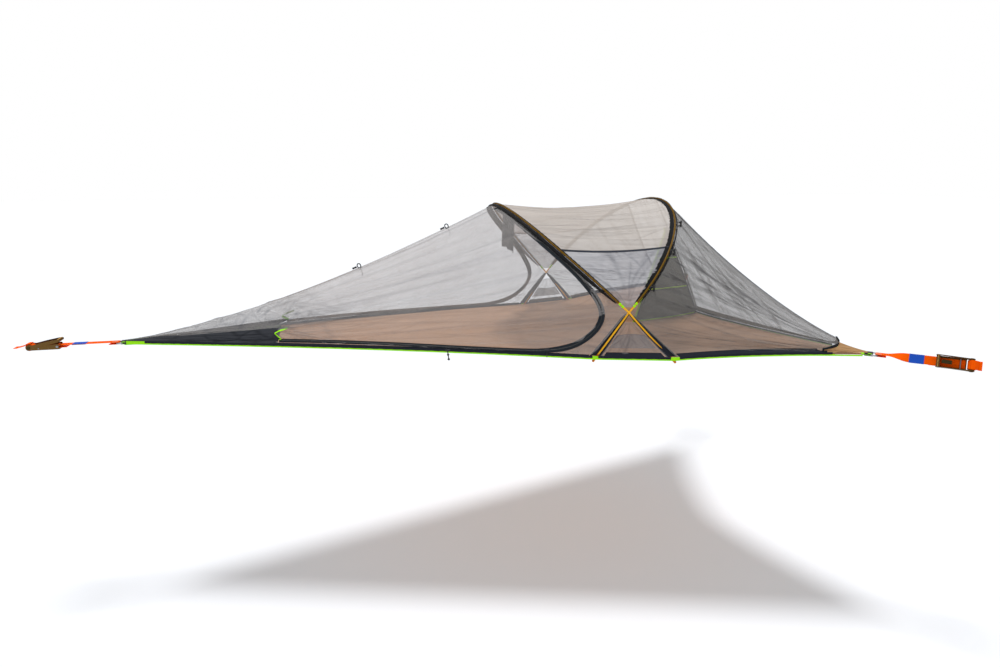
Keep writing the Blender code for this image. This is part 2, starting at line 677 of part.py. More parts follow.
def closed_tube(name, path, radius, mat, sides=8, up=(0, 0, 1)):
    """A closed ring swept with a round section."""
    t = np.roll(path, -1, axis=0) - np.roll(path, 1, axis=0)
    t /= np.linalg.norm(t, axis=1)[:, None]
    up = np.broadcast_to(np.array(up, float), path.shape)
    out = np.cross(t, up)
    out /= np.linalg.norm(out, axis=1)[:, None]
    a = np.linspace(0, 2 * np.pi, sides, endpoint=False)
    verts = (
        path[:, None]
        + radius * np.cos(a)[None, :, None] * out[:, None]
        + radius * np.sin(a)[None, :, None] * up[:, None]
    ).reshape(-1, 3)
    n = len(path)
    faces = [
        (i * sides + j, i * sides + (j + 1) % sides, k * sides + (j + 1) % sides, k * sides + j)
        for i, k in zip(range(n), [*range(1, n), 0])
        for j in range(sides)
    ]
    return recalc(finish(name, verts, faces, mat, smooth=True))


def eye(centre_x, radius, toward, count=7):
    """A half turn of strap round a bar at centre_x, open on the side that toward points to."""
    a = np.linspace(np.pi / 2, -np.pi / 2, count)
    return np.stack([centre_x - toward * radius * np.cos(a), radius * np.sin(a)], -1)


def lean(outward, angle):
    """Directions across and up from an outward line, turned about it by an angle."""
    across = np.cross([0, 0, 1], outward)
    up = np.array([0, 0, 1.0])
    c = np.cos(angle)[..., None]
    s = np.sin(angle)[..., None]
    return across * c + up * s, up * c - across * s


def build_anchor(name, corner, outward, strap_length, tail_length, under, roll):
    """Corner loop, ring, strap, ratchet and strap end, set out along one outward line.

    The corner loop's leg runs in at the height under, beneath what it is sewn to. The ring and
    the loop lie level, and the strap twists to the angle roll before it reaches the ratchet.
    """
    ring_out = RING_LENGTH / 2
    half = STRAP_T / 2
    across, _ = lean(outward, np.array(0.0))
    ring = ring_path(RING_LENGTH - RING_BAR_D, RING_WIDTH)
    centre = corner + ring[:, :1] * outward + ring[:, 1:2] * across
    closed_tube(f"{name}_ring", centre, RING_BAR_D / 2, SILVER)
    bar_in = -(RING_LENGTH - RING_BAR_D) / 2
    turn = RING_BAR_D / 2 + CLEARANCE + half
    loop = eye(bar_in, turn, -1)
    path = np.concatenate(
        [
            [[bar_in - EYE_TAIL / 3, turn]],
            loop,
            [[-CORNER_START + STRAP_T * 2, under]],
            [[-CORNER_LOOP_LENGTH, under]],
        ]
    )
    web_ribbon(f"{name}_corner_loop", path, corner, outward, LIME_WEB, np.zeros(len(path)))
    bar_out = -bar_in
    bolt_x = ring_out + strap_length
    bolt_turn = BOLT_D / 2 + CLEARANCE + half
    run = np.linspace(bar_out + EYE_TAIL, bolt_x - EYE_TAIL, 12)
    height = np.linspace(turn, bolt_turn, 12)
    strap = np.concatenate(
        [
            [[bar_out + EYE_TAIL, -turn]],
            eye(bar_out, turn, 1)[::-1],
            np.stack([run, height], -1),
            eye(bolt_x, bolt_turn, -1),
            [[bolt_x - EYE_TAIL, -bolt_turn]],
        ]
    )
    twist = np.clip((strap[:, 0] - run[0]) / TWIST_LENGTH, 0, 1)
    web_ribbon(f"{name}_strap", strap, corner, outward, ORANGE_WEB, roll * twist**2 * (3 - 2 * twist))
    build_ratchet(name, corner, outward, bolt_x, roll)
    axis_x = bolt_x + SPINDLE_X
    top = SPINDLE_D / 2 + CLEARANCE * 2 + half
    tail = np.array(
        [
            [axis_x - SPINDLE_D / 3, top],
            [axis_x + SPINDLE_D, top],
            [axis_x + tail_length - EYE_TAIL / 3, 0],
            [axis_x + tail_length, 0],
        ]
    )
    web_ribbon(f"{name}_strap_end", tail, corner, outward, ORANGE_WEB, np.full(len(tail), roll))


def web_ribbon(name, path, corner, outward, mat, angles):
    """Strap webbing along a path of (outward, height), turned about the outward line."""
    across, up = lean(outward, angles)
    points = corner + path[:, :1] * outward + path[:, 1:] * up
    t = np.gradient(points, axis=0)
    t[0] = points[1] - points[0]
    t[-1] = points[-1] - points[-2]
    t /= np.linalg.norm(t, axis=1)[:, None]
    return ribbon(name, points, STRAP_WIDTH, STRAP_T, mat, across=across, up=np.cross(t, across))


def prism(name, outline, low, high, mat):
    """An outline in a plane, pushed through from low to high along the plane's normal."""
    bm = bmesh.new()
    bottom = [bm.verts.new((x, y, low)) for x, y in outline]
    face = bm.faces.new(bottom)
    top = bmesh.ops.extrude_face_region(bm, geom=[face])
    moved = [g for g in top["geom"] if isinstance(g, bmesh.types.BMVert)]
    bmesh.ops.translate(bm, vec=(0, 0, high - low), verts=moved)
    bmesh.ops.recalc_face_normals(bm, faces=bm.faces)
    mesh = bpy.data.meshes.new(name)
    bm.to_mesh(mesh)
    bm.free()
    mesh.materials.append(mat)
    ob = bpy.data.objects.new(name, mesh)
    bpy.context.collection.objects.link(ob)
    return ob


def rod(name, centre, direction, radius, length, mat, sides=16):
    """A straight round bar about a centre."""
    bm = bmesh.new()
    bmesh.ops.create_cone(bm, cap_ends=True, segments=sides, radius1=radius, radius2=radius, depth=length)
    mesh = bpy.data.meshes.new(name)
    turn = Vector((0, 0, 1)).rotation_difference(Vector(direction)).to_matrix().to_4x4()
    bm.transform(Matrix.Translation(Vector(centre)) @ turn)
    bm.to_mesh(mesh)
    bm.free()
    mesh.materials.append(mat)
    ob = bpy.data.objects.new(name, mesh)
    bpy.context.collection.objects.link(ob)
    mesh.shade_smooth()
    mesh.set_sharp_from_angle(angle=SMOOTH_ANGLE)
    return ob


def combine(ob, other, operation):
    """Union with a piece, or a cut by a hidden cutter."""
    other.hide_render = True
    other.display_type = "WIRE"
    cut = ob.modifiers.new(operation.lower(), "BOOLEAN")
    cut.operation = operation
    cut.object = other
    cut.solver = "EXACT"


def build_ratchet(name, corner, outward, bolt_x, roll):
    """A strap ratchet: channel frame with its fixed bolt, winding spindle and folded handle."""
    across, up = lean(outward, np.array(roll))
    turn = Matrix((outward, across, up)).transposed().to_4x4()
    base = Matrix.Translation(Vector(corner + outward * bolt_x)) @ turn
    hole = SPINDLE_D / 2 - SPINDLE_END + CLEARANCE
    w = FRAME_WIDTH / 2
    h = FRAME_HEIGHT / 2
    # The channel's section stands on its long side: two cheeks and a floor under the strap
    section = [
        (-w, -h),
        (w, -h),
        (w, h),
        (w - FRAME_WALL, h),
        (w - FRAME_WALL, -h + FRAME_WALL),
        (-w + FRAME_WALL, -h + FRAME_WALL),
        (-w + FRAME_WALL, h),
        (-w, h),
    ]
    frame = prism(f"{name}_ratchet_frame", section, -BOLT_D, FRAME_LENGTH - BOLT_D, STEEL)
    stand = Matrix(((0, 0, 1, 0), (1, 0, 0, 0), (0, 1, 0, 0), (0, 0, 0, 1)))
    frame.data.transform(base @ stand)
    bolt_centre = base @ Vector((0, 0, 0))
    bolt = rod(f"{name}_bolt_guide", bolt_centre, across, BOLT_D / 2, FRAME_WIDTH - FRAME_WALL, STEEL)
    combine(frame, bolt, "UNION")
    axis_point = base @ Vector((SPINDLE_X, 0, 0))
    bore = rod(f"{name}_bore_guide", axis_point, across, hole, FRAME_WIDTH * 2, STEEL)
    combine(frame, bore, "DIFFERENCE")
    build_spindle(f"{name}_spindle", axis_point, across, up)
    build_handle(f"{name}_ratchet_handle", axis_point, turn, across)


def build_spindle(name, axis_point, across, up):
    """A stepped spindle: a drum between the cheeks and a thinner end through each cheek."""
    drum = FRAME_WIDTH / 2 - FRAME_WALL - CLEARANCE
    end = FRAME_WIDTH / 2
    thin = SPINDLE_D / 2 - SPINDLE_END
    thick = SPINDLE_D / 2
    steps = [(-end, thin), (-drum, thin), (-drum, thick), (drum, thick), (drum, thin), (end, thin)]
    sides = 16
    a = np.linspace(0, 2 * np.pi, sides, endpoint=False)
    side = np.cross(across, up)
    centre = np.array(axis_point)
    verts = []
    for distance, radius in steps:
        for angle in a:
            verts.append(centre + across * distance + radius * (np.cos(angle) * up + np.sin(angle) * side))
    faces = [
        (i * sides + j, i * sides + (j + 1) % sides, (i + 1) * sides + (j + 1) % sides, (i + 1) * sides + j)
        for i in range(len(steps) - 1)
        for j in range(sides)
    ]
    last = (len(steps) - 1) * sides
    faces += [tuple(range(sides)), tuple(range(last, last + sides))]
    ob = recalc(finish(name, verts, faces, STEEL, smooth=True))
    return place(ob, centre)


def build_handle(name, axis_point, turn, across):
    """A handle of two arms outside the cheeks, a hub on each, and a grip over the fixed bolt."""
    inner = FRAME_WIDTH / 2 + CLEARANCE * 2
    outer = inner + HANDLE_WALL
    back = HANDLE_DEPTH / 2
    outline = [
        (back, -outer),
        (back, -inner),
        (HANDLE_GRIP - HANDLE_REACH, -inner),
        (HANDLE_GRIP - HANDLE_REACH, inner),
        (back, inner),
        (back, outer),
        (-HANDLE_REACH, outer),
        (-HANDLE_REACH, -outer),
    ]
    handle = prism(name, outline, -HANDLE_DEPTH / 2, HANDLE_DEPTH / 2, STEEL)
    tilt = Matrix.Rotation(HANDLE_TILT, 4, "Y")
    handle.data.transform(turn @ tilt)
    handle.location = Vector(axis_point)
    for way in (-1, 1):
        centre = Vector(axis_point) + Vector(across) * way * (inner + HANDLE_WALL * 5 / 4)
        hub = rod(f"{name}_hub_guide", centre, across, HUB_D / 2, HANDLE_WALL * 3 / 2, STEEL)
        combine(handle, hub, "UNION")


def build_toggle():
    """A flysheet ring that stands on the front ridge strip."""
    u = np.linspace(0, 1, 200)
    ridge = front_fan(u, np.array([1.0]), 1)[:, 0]
    k = np.argmin(np.abs(ridge[:, 0] - TIP_X - RING_TOGGLE_X))
    t = ridge[k + 1] - ridge[k]
    t /= np.linalg.norm(t)
    normal = np.array([-t[2], 0, t[0]])
    a = np.linspace(0, 2 * np.pi, 14, endpoint=False)
    r = RING_TOGGLE_D / 2
    centre = ridge[k] + normal * (CLOTH_T / 2 + RING_TOGGLE_BAR / 2 + CLEARANCE * 2 + r)
    path = centre + r * (np.cos(a)[:, None] * t + np.sin(a)[:, None] * normal)
    closed_tube("ridge_toggle_ring", path, RING_TOGGLE_BAR / 2, BLACK_ZIP, sides=6, up=(0, 1, 0))


def main():
    for ob in list(bpy.data.objects):
        bpy.data.objects.remove(ob, do_unlink=True)
    build_floor()
    build_edges()
    build_hoops()
    build_front()
    build_roof()
    build_sides()
    build_rear()
    build_inside()
    build_toggle()
    below_web = -(EDGE_WEB_HEIGHT / 2 + CLEARANCE + STRAP_T / 2)
    below_floor = -(FLOOR_T / 2 + CLEARANCE * 3 + STRAP_T / 2)
    outward = np.array([-1.0, 0, 0])
    build_anchor("tip", TIP, outward, TIP_STRAP_LENGTH, TIP_TAIL_LENGTH, below_web, 0)
    middle = np.array([TIP_X + TENT_LENGTH * 2 / 3, 0, 0])
    for side, name in ((-1, "near"), (1, "far")):
        corner = REAR_CORNER * np.array([1, side, 1])
        outward = corner - middle
        outward /= np.linalg.norm(outward)
        roll = -side * STRAP_ROLL
        lengths = (REAR_STRAP_LENGTH, REAR_TAIL_LENGTH)
        build_anchor(f"{name}_rear", corner, outward, *lengths, below_floor, roll)


main()
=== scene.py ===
"""A suspended tree tent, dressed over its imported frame.

Metres. +X runs from the tip to the rear edge, -Y is the near side, +Z is up.
"""

import bpy
import numpy as np
from mathutils import Matrix, Vector


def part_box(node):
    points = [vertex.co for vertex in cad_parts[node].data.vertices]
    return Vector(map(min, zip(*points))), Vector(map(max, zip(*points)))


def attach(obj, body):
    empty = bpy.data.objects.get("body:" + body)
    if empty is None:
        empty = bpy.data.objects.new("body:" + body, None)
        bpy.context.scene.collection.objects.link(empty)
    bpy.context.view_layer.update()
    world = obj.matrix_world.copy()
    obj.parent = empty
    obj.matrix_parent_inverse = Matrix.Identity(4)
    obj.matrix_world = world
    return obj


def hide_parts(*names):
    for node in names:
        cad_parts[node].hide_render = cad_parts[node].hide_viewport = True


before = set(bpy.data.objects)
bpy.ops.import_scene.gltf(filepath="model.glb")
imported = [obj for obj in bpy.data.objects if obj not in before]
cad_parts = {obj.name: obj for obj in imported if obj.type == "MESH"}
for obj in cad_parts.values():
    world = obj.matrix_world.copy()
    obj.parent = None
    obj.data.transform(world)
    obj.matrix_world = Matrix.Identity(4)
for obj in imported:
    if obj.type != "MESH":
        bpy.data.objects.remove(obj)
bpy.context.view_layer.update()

# The tent's own sizes, the same as the frame's
LENGTH = 4.10
REAR_WIDTH = 2.43
FRONT_FOOT_X = 2.642
REAR_FOOT_X = 3.071
FOOT_DROP = 0.060
EDGE_DROP = 0.045
CROSS_X = 2.835
CROSS_HEIGHT = 0.205
HOOP_HEIGHT = {"front": 0.775, "rear": 0.800}
SHOULDER = {"front": 0.15, "rear": -0.04}
APEX_SHIFT = {"front": -0.070, "rear": 0.072}
RIDGE_SPREAD = 0.300
BOW = 0.390
ROOF_SAG = 0.045
FLOOR_SAG = 0.080
POLE_R = 0.0051
SLEEVE_R = 0.0071
CLOTH = 0.0016
CLEAR = 0.0003
TIP_R = 0.0070
WEB_T = 0.0030
WEB_H = 0.020
STRAP_W = 0.048
STRAP_T = 0.0028
RING_LENGTH = 0.036
RING_BAR_R = 0.004
EYE_TAIL = 0.045
BOLT_D = 0.010
FRAME_LENGTH = 0.165
SPINDLE_X = FRAME_LENGTH - 0.022
ROLL = 1.2
CROSS = 0.22
TIP_END = 0.33025
SLEEVE_START = 0.268
ARCH = np.linspace(SLEEVE_START, 1, 15)
RIDGE_POWER = 1.43
EDGE_POWER = 2.4
STRAP = {"tip": 0.305, "near_rear": 0.282, "far_rear": 0.282}
TAIL = {"tip": 0.080, "near_rear": 0.045, "far_rear": 0.045}

# Thickness of the scene's tapes, folded strips, webbing bands and sleeve cloth
TAPE_T = 0.0010
FOLD_T = 0.0008
BAND_T = 0.0026
SLEEVE_T = 0.0009
# A step in a pole's shares that gives its direction
POLE_STEP = 0.007
# The least share of its own length and width that a sheet covers, where its size is worked out
LEAST_COVER = 0.32

TIP_X = RING_LENGTH / 2 + STRAP["tip"] + SPINDLE_X + TAIL["tip"]
TIP = np.array([TIP_X, 0, 0])
CORNER = np.array([TIP_X + LENGTH, REAR_WIDTH / 2, 0])
CROSS_HALF = REAR_WIDTH / 2 * 0.6584
CROSS_STEP = POLE_R + CLEAR * 3
OUTSET = TIP_R - CLEAR + WEB_T / 2
LIFT = WEB_H / 2 + CLEAR + CLOTH / 2
SEAT_R = SLEEVE_R + CLEAR + CLOTH / 2
INSIDE = np.array([TIP_X + 2.8, 0, 0.15])
ALONG = np.array([1.0, 0.0, 0.0])
UP = np.array([0.0, 0.0, 1.0])
SIDES = ((-1, "near"), (1, "far"))


# Camera: its focal length in the photo's pixels, its place and its turn in degrees
PHOTO_WIDTH = 1000
FOCAL_PX = 656.3
LOOKS_DOWN = 13.78
LOOKS_RIGHT = 13.0
eye = bpy.data.cameras.new("camera")
eye.sensor_width = 36
eye.lens = eye.sensor_width * FOCAL_PX / PHOTO_WIDTH
eye.shift_x = -0.0014
eye.clip_end = 200
camera = bpy.data.objects.new("camera", eye)
camera.location = (1.881, -4.13, 0.966)
camera.rotation_euler = (np.radians(90 - LOOKS_DOWN), 0, np.radians(-LOOKS_RIGHT))
bpy.context.scene.collection.objects.link(camera)
bpy.context.scene.camera = camera


# The tent's form
def unit(v):
    """Vectors at a length of one."""
    return v / np.linalg.norm(v, axis=-1)[..., None]


def hoop(which, t, side=-1):
    """A pole's centre line at shares t from foot to apex.

    Below the crossing it is a parabola. Above, an ellipse quarter with its shoulder drawn in by
    a sine of twice the angle.
    """
    t = np.asarray(t, float)
    front = which == "front"
    foot_x = TIP_X + (REAR_FOOT_X if front else FRONT_FOOT_X)
    foot_y = REAR_WIDTH / 2 * (foot_x - TIP_X) / LENGTH
    cross_y = CROSS_HALF + (CROSS_STEP if front else -CROSS_STEP)
    a = np.clip(t / CROSS, None, 1)
    angle = np.clip((t - CROSS) / (1 - CROSS), 0, 1) * np.pi / 2
    arch_y = cross_y * np.cos(angle) * (1 - SHOULDER[which] * np.sin(2 * angle))
    y = np.where(t < CROSS, cross_y + (foot_y - cross_y) * (1 - a) ** 2, arch_y)
    rise = CROSS_HEIGHT + FOOT_DROP
    arch_z = CROSS_HEIGHT + (HOOP_HEIGHT[which] - CROSS_HEIGHT) * np.sin(angle)
    z = np.where(t < CROSS, rise * a - FOOT_DROP, arch_z)
    x = foot_x + (TIP_X + CROSS_X - foot_x) / rise * (z + FOOT_DROP) + APEX_SHIFT[which] * np.sin(angle)
    return np.stack([x, side * y, z], -1)


def inward(side):
    """Level direction from a long edge towards the middle."""
    v = np.array([REAR_WIDTH / 2, -side * LENGTH, 0])
    return v / np.linalg.norm(v)


def to_webbing(v, side):
    """The move from a point on a leg out and up to the webbing, fading out at the crossing."""
    low = np.clip(1 - np.asarray(v) / CROSS, 0, 1)[..., None]
    return low * (UP * (LIFT + FOOT_DROP - EDGE_DROP) - OUTSET * inward(side))


def rail(which, v, side):
    """The line a panel is sewn to: one hoop's leg to the crossing, the other hoop above it.

    The frame changes legs in one step. Here the change is spread over a short stretch.
    """
    leg = hoop("rear" if which == "front" else "front", v, side)
    a = np.clip((v - CROSS + 0.025) / 0.050, 0, 1)[..., None]
    a = a * a * (3 - 2 * a)
    return leg * (1 - a) + hoop(which, v, side) * a + to_webbing(v, side)


def seat(which, v, side, direction):
    """Distance from the pole's centre at which cloth stops, along its threads."""
    t = unit(hoop(which, v + POLE_STEP, side) - hoop(which, v - POLE_STEP, side))
    return SEAT_R / np.sqrt(1 - np.sum(t * unit(direction), axis=-1) ** 2)


def fan(which, u, v, side):
    """A panel of threads that hang from a corner to a hoop's rail.

    u is the share of the way to the rail, v the share along it. A thread is straight in plan,
    and its height is its end's height times u to a power between the edge's and the ridge's.
    """
    u, v = np.broadcast_arrays(np.asarray(u, float), np.asarray(v, float))
    corner = TIP if which == "front" else CORNER * np.array([1, side, 1])
    start = corner + UP * LIFT - OUTSET * inward(side)
    step = rail(which, v, side) - start
    s = u * (1 - seat(which, v, side, step) / np.linalg.norm(step, axis=-1))
    power = RIDGE_POWER + (EDGE_POWER - RIDGE_POWER) * (1 - v) ** 3
    grid = start + step * s[..., None]
    grid[..., 2] = start[2] + step[..., 2] * s**power
    middle = np.clip((v - CROSS) / (1 - CROSS), 0, 1) ** 2
    grid[..., 1] += middle * (1 - s) * OUTSET * inward(side)[1]
    return grid


def height_shares(which, u, height):
    """The share v at which a panel stands a height above its lower edge, for each u."""
    v = np.linspace(0, 0.42, 120)
    z = fan(which, np.asarray(u)[:, None], v[None], -1)[..., 2]
    height = np.broadcast_to(height, len(u))
    return np.array([np.interp(h, row - row[0], v) for h, row in zip(height, z)])


def bow(w):
    """How far the rear edge is cut in at a share w of the way to a corner."""
    return BOW * (1 - np.abs(w) ** 1.4)


def edge_drop(x):
    """How far a long edge hangs below the corners."""
    front = np.clip(x / FRONT_FOOT_X, 0, 1)
    rear = np.clip((LENGTH - x) / (LENGTH - REAR_FOOT_X), 0, 1)
    return EDGE_DROP * np.minimum(front, rear) ** EDGE_POWER


def floor_point(x, w):
    """The floor's surface at a length x before its rear is cut in and a share w across."""
    sag = -FLOOR_SAG * np.sin(np.pi * x / LENGTH)
    ramp = np.clip((x - REAR_FOOT_X) / (LENGTH - REAR_FOOT_X), 0, 1) ** 2
    half = REAR_WIDTH / 2 * x / LENGTH + (OUTSET - WEB_T / 2 - CLEAR * 2) / abs(inward(-1)[1])
    z = -edge_drop(x) * w**2 + sag * (1 - w**2)
    return np.stack([TIP_X + x - ramp * bow(w), half * w, z], -1)


def roof_point(t, q, side):
    """Rulings from the front hoop to the rear one, sagging in the middle of their length."""
    t, q = np.broadcast_arrays(np.asarray(t, float), np.asarray(q, float))
    a = hoop("front", t, side)
    b = hoop("rear", t, side)
    span = np.linalg.norm(b - a, axis=-1)
    first = seat("front", t, side, b - a) / span
    s = first + (1 - first - seat("rear", t, side, b - a) / span) * q
    grid = a + (b - a) * s[..., None]
    grid[..., 2] -= ROOF_SAG * np.clip((t - CROSS) / (1 - CROSS), 0, 1) * 4 * s * (1 - s)
    return grid


def side_point(t, q, side):
    """The triangle between the two legs, drawn out to the webbing at its foot."""
    t, q = np.broadcast_arrays(np.asarray(t, float), np.asarray(q, float))
    a = hoop("rear", t, side)
    b = hoop("front", t, side)
    span = np.linalg.norm(b - a, axis=-1)
    low = np.clip(1 - t / CROSS, 0, 1) * (LIFT + FOOT_DROP - EDGE_DROP)
    first = (seat("rear", t, side, b - a) + low) / span
    last = (seat("front", t, side, b - a) + low) / span
    s = first + (1 - first - last) * q
    return a + (b - a) * s[..., None] + to_webbing(t, side)


REAR_TOP = ARCH[np.argmin(np.abs(hoop("rear", ARCH, 1)[:, 1] - RIDGE_SPREAD))]


def wall_point(r, w):
    """The rear wall: lines from the cut-in rear edge up to the top of the rear hoop.

    w runs from -1 at the near ridge to 1 at the far one, r from the edge to the hoop.
    """
    r, w = np.broadcast_arrays(np.asarray(r, float), np.asarray(w, float))
    t = np.linspace(0.5, 1, 400)
    y = hoop("rear", t, 1)[:, 1]
    top_y = hoop("rear", REAR_TOP, 1)[1]
    share = np.interp(np.abs(w) * top_y, y[::-1], t[::-1])
    head = hoop("rear", share, 1)
    head[..., 1] *= np.sign(w)
    foot = np.stack([CORNER[0] - bow(w), w * CORNER[1], np.zeros_like(w)], -1)
    mirror = np.stack([np.ones_like(w), -np.sign(w), np.ones_like(w)], -1)
    s = r * (1 - seat("rear", share, -1, (head - foot) * mirror) / np.linalg.norm(head - foot, axis=-1))
    grid = foot + (head - foot) * s[..., None]
    grid[..., 2] = LIFT + (head[..., 2] - LIFT) * s ** (0.9 + (RIDGE_POWER - 0.9) * w**2)
    return grid + np.array([CLOTH + CLEAR, 0, CLOTH + CLEAR])


# Making meshes
def normals(grid):
    """Unit normals of a grid, rows crossed with columns."""
    return unit(np.cross(np.gradient(grid, axis=0), np.gradient(grid, axis=1)) + 1e-12)


def lengths(grid):
    """Distance along each direction of a grid, by its longest steps, as UV metres."""
    down = np.linalg.norm(np.diff(grid, axis=0), axis=-1).max(axis=1)
    over = np.linalg.norm(np.diff(grid, axis=1), axis=-1).max(axis=0)
    a = np.concatenate([[0], np.cumsum(down)])
    b = np.concatenate([[0], np.cumsum(over)])
    return np.stack(np.meshgrid(a, b, indexing="ij"), -1)


def mesh_object(name, points, faces, mat, uv, fold=None, sharp=1.0):
    """An object of points and faces, with UVs in metres, shaded smooth up to a sharp angle."""
    mesh = bpy.data.meshes.new(name)
    mesh.from_pydata(points.reshape(-1, 3).tolist(), [], faces)
    mesh.materials.append(mat)
    loops = np.empty(len(mesh.loops), int)
    mesh.loops.foreach_get("vertex_index", loops)
    layer = mesh.uv_layers.new(name="metres")
    layer.data.foreach_set("uv", uv.reshape(-1, 2)[loops].astype(np.float32).ravel())
    if fold is not None:
        data = mesh.attributes.new("fold", "FLOAT", "POINT").data
        data.foreach_set("value", fold.ravel().astype(np.float32))
    mesh.shade_smooth()
    mesh.set_sharp_from_angle(angle=sharp)
    ob = bpy.data.objects.new(name, mesh)
    bpy.context.scene.collection.objects.link(ob)
    return ob


def surface(name, grid, mat, fold=None, thickness=0.0, inside=None):
    """A sheet from a grid of points. A thickness makes it a closed shell, half on each side."""
    uv = lengths(grid)
    fold = np.zeros(grid.shape[:2]) if fold is None else fold
    if inside is not None and np.sum(normals(grid) * (grid - inside)) < 0:
        grid, uv, fold = grid[:, ::-1], uv[:, ::-1], fold[:, ::-1]
    n, m = grid.shape[:2]
    index = np.arange(n * m).reshape(n, m)
    quads = np.stack([index[:-1, :-1], index[1:, :-1], index[1:, 1:], index[:-1, 1:]], -1)
    quads = quads.reshape(-1, 4)
    if thickness:
        off = normals(grid) * thickness / 2
        rim = np.concatenate([index[0, :-1], index[:-1, -1], index[-1, :0:-1], index[:0:-1, 0]])
        after = np.roll(rim, -1)
        wall = np.stack([rim, after, after + n * m, rim + n * m], -1)
        quads = np.concatenate([quads, quads[:, ::-1] + n * m, wall])
        grid = np.concatenate([grid + off, grid - off])
        uv = np.concatenate([uv, uv])
        fold = np.concatenate([fold, fold])
    return mesh_object(name, grid, quads.tolist(), mat, uv, fold)


def tube(name, rings, mat, sharp=1.0, loop=False):
    """Rings of points joined in order, capped at both ends or joined last to first."""
    n, k = rings.shape[:2]
    index = np.arange(n * k).reshape(n, k)
    nxt = np.roll(index, -1, axis=1)
    a, b = (index, np.roll(index, -1, axis=0)) if loop else (index[:-1], index[1:])
    c, d = (nxt, np.roll(nxt, -1, axis=0)) if loop else (nxt[:-1], nxt[1:])
    quads = np.stack([a, b, d, c], -1).reshape(-1, 4)
    faces = quads.tolist()
    if not loop:
        faces += [index[0].tolist(), index[-1, ::-1].tolist()]
    p = rings.reshape(-1, 3)
    q = p[quads] - p.mean(axis=0)
    volume = np.sum(q[:, 0] * np.cross(q[:, 1], q[:, 2]) + q[:, 0] * np.cross(q[:, 2], q[:, 3]))
    if volume < 0:
        faces = [f[::-1] for f in faces]
    along = np.cumsum(np.concatenate([[0], np.linalg.norm(np.diff(rings[:, 0], axis=0), axis=1)]))
    round_ = np.cumsum(np.concatenate([[0], np.linalg.norm(np.diff(rings[0], axis=0), axis=1)]))
    uv = np.stack(np.meshgrid(along, round_, indexing="ij"), -1)
    return mesh_object(name, rings, faces, mat, uv, np.zeros((n, k)), sharp)


def round_rings(path, radius, sides=12, start=None):
    """Circles about a path: a first across direction is carried along without twist."""
    t = unit(np.gradient(path, axis=0))
    across = np.cross(t[0], UP if start is None else start)
    side = []
    for d in t:
        across = across - d * np.dot(across, d)
        across = across / np.linalg.norm(across)
        side.append(across)
    side = np.array(side)
    other = np.cross(t, side)
    a = np.linspace(0, 2 * np.pi, sides, endpoint=False)
    r = np.broadcast_to(radius, len(path))[:, None, None]
    return path[:, None] + r * (
        np.cos(a)[None, :, None] * side[:, None] + np.sin(a)[None, :, None] * other[:, None]
    )


def tape_grid(path, normal, width, crown=0.0, count=5):
    """A flat tape along a path: points across it, raised in the middle by the crown.

    The width is one value, or one for each point of the path.
    """
    side = unit(np.cross(unit(np.gradient(path, axis=0)), normal))
    w = np.linspace(-1, 1, count)
    half = np.broadcast_to(width, len(path))[:, None, None] / 2
    grid = path[:, None] + side[:, None] * w[None, :, None] * half
    return grid + (crown * (1 - w**2))[None, :, None] * np.broadcast_to(normal, path.shape)[:, None]


def smooth_path(points, count, window=9):
    """An even path through points, softened by a moving average that keeps its two ends."""
    points = np.asarray(points, float)
    d = np.concatenate([[0], np.cumsum(np.linalg.norm(np.diff(points, axis=0), axis=1))])
    s = np.linspace(0, d[-1], count)
    even = np.stack([np.interp(s, d, points[:, k]) for k in range(points.shape[1])], -1)
    half = window // 2
    before = 2 * even[:1] - even[half:0:-1]
    after = 2 * even[-1:] - even[-2 : -half - 2 : -1]
    padded = np.concatenate([before, even, after])
    kernel = np.hanning(window + 2)[1:-1]
    kernel /= kernel.sum()
    return np.stack([np.convolve(padded[:, k], kernel, "valid") for k in range(even.shape[1])], -1)


def creases(a, b, seed, count, width, lift, long=0.5, slant=0.1, share=1.0):
    """Creases that run along a, at places and lengths drawn from a seeded generator.

    Each is a ridge across b, a bell curve of a given width, that fades in and out along a.
    Returns the height of the cloth, and a share from 0 to 1 for how hard it is folded, which the
    finishes turn into painted shade and denser netting.
    """
    rng = np.random.default_rng(seed)
    height = np.zeros_like(a)
    fold = np.zeros_like(a)
    for _ in range(count):
        centre = rng.uniform(0, 1)
        middle = rng.uniform(0.05, 0.95)
        reach = long * rng.uniform(0.4, 1.0)
        w = width * rng.uniform(0.5, 1.6)
        bend = rng.normal(0, slant)
        line = centre + bend * (a - middle) + 0.3 * bend * np.sin(3 * (a - middle))
        x = (b - line) / w
        fade = np.clip(1 - np.abs((a - middle) / reach) ** 2, 0, 1)
        size = rng.uniform(0.3, 1.0) * fade
        height += rng.choice([-1, 1]) * size * np.exp(-(x**2))
        fold = np.maximum(fold, share * size * np.exp(-((x / 0.5) ** 2)))
    return height * lift, fold


def edges(a, b, soft=0.06):
    """A window that is 0 on the rim of a panel and 1 inside it."""
    window = 1.0
    for share in (a, 1 - a, b, 1 - b):
        window = window * np.clip(share / soft, 0, 1)
    return window


def crumple(grid, height):
    """A surface raised along its normals by a height at each point."""
    return grid + normals(grid) * height[..., None]


def outset(grid, distance):
    """A surface moved away from the tent's middle."""
    return grid + unit(grid - INSIDE) * np.asarray(distance)[..., None]


def shares(rows, columns):
    """Shares from 0 to 1 down and across a grid."""
    return np.meshgrid(np.linspace(0, 1, rows), np.linspace(0, 1, columns), indexing="ij")


def settle(ob, stands_for=None, body="tent"):
    """Carry a piece on a body, and hide the frame's part that it stands for."""
    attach(ob, body)
    if stands_for:
        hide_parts(stands_for)


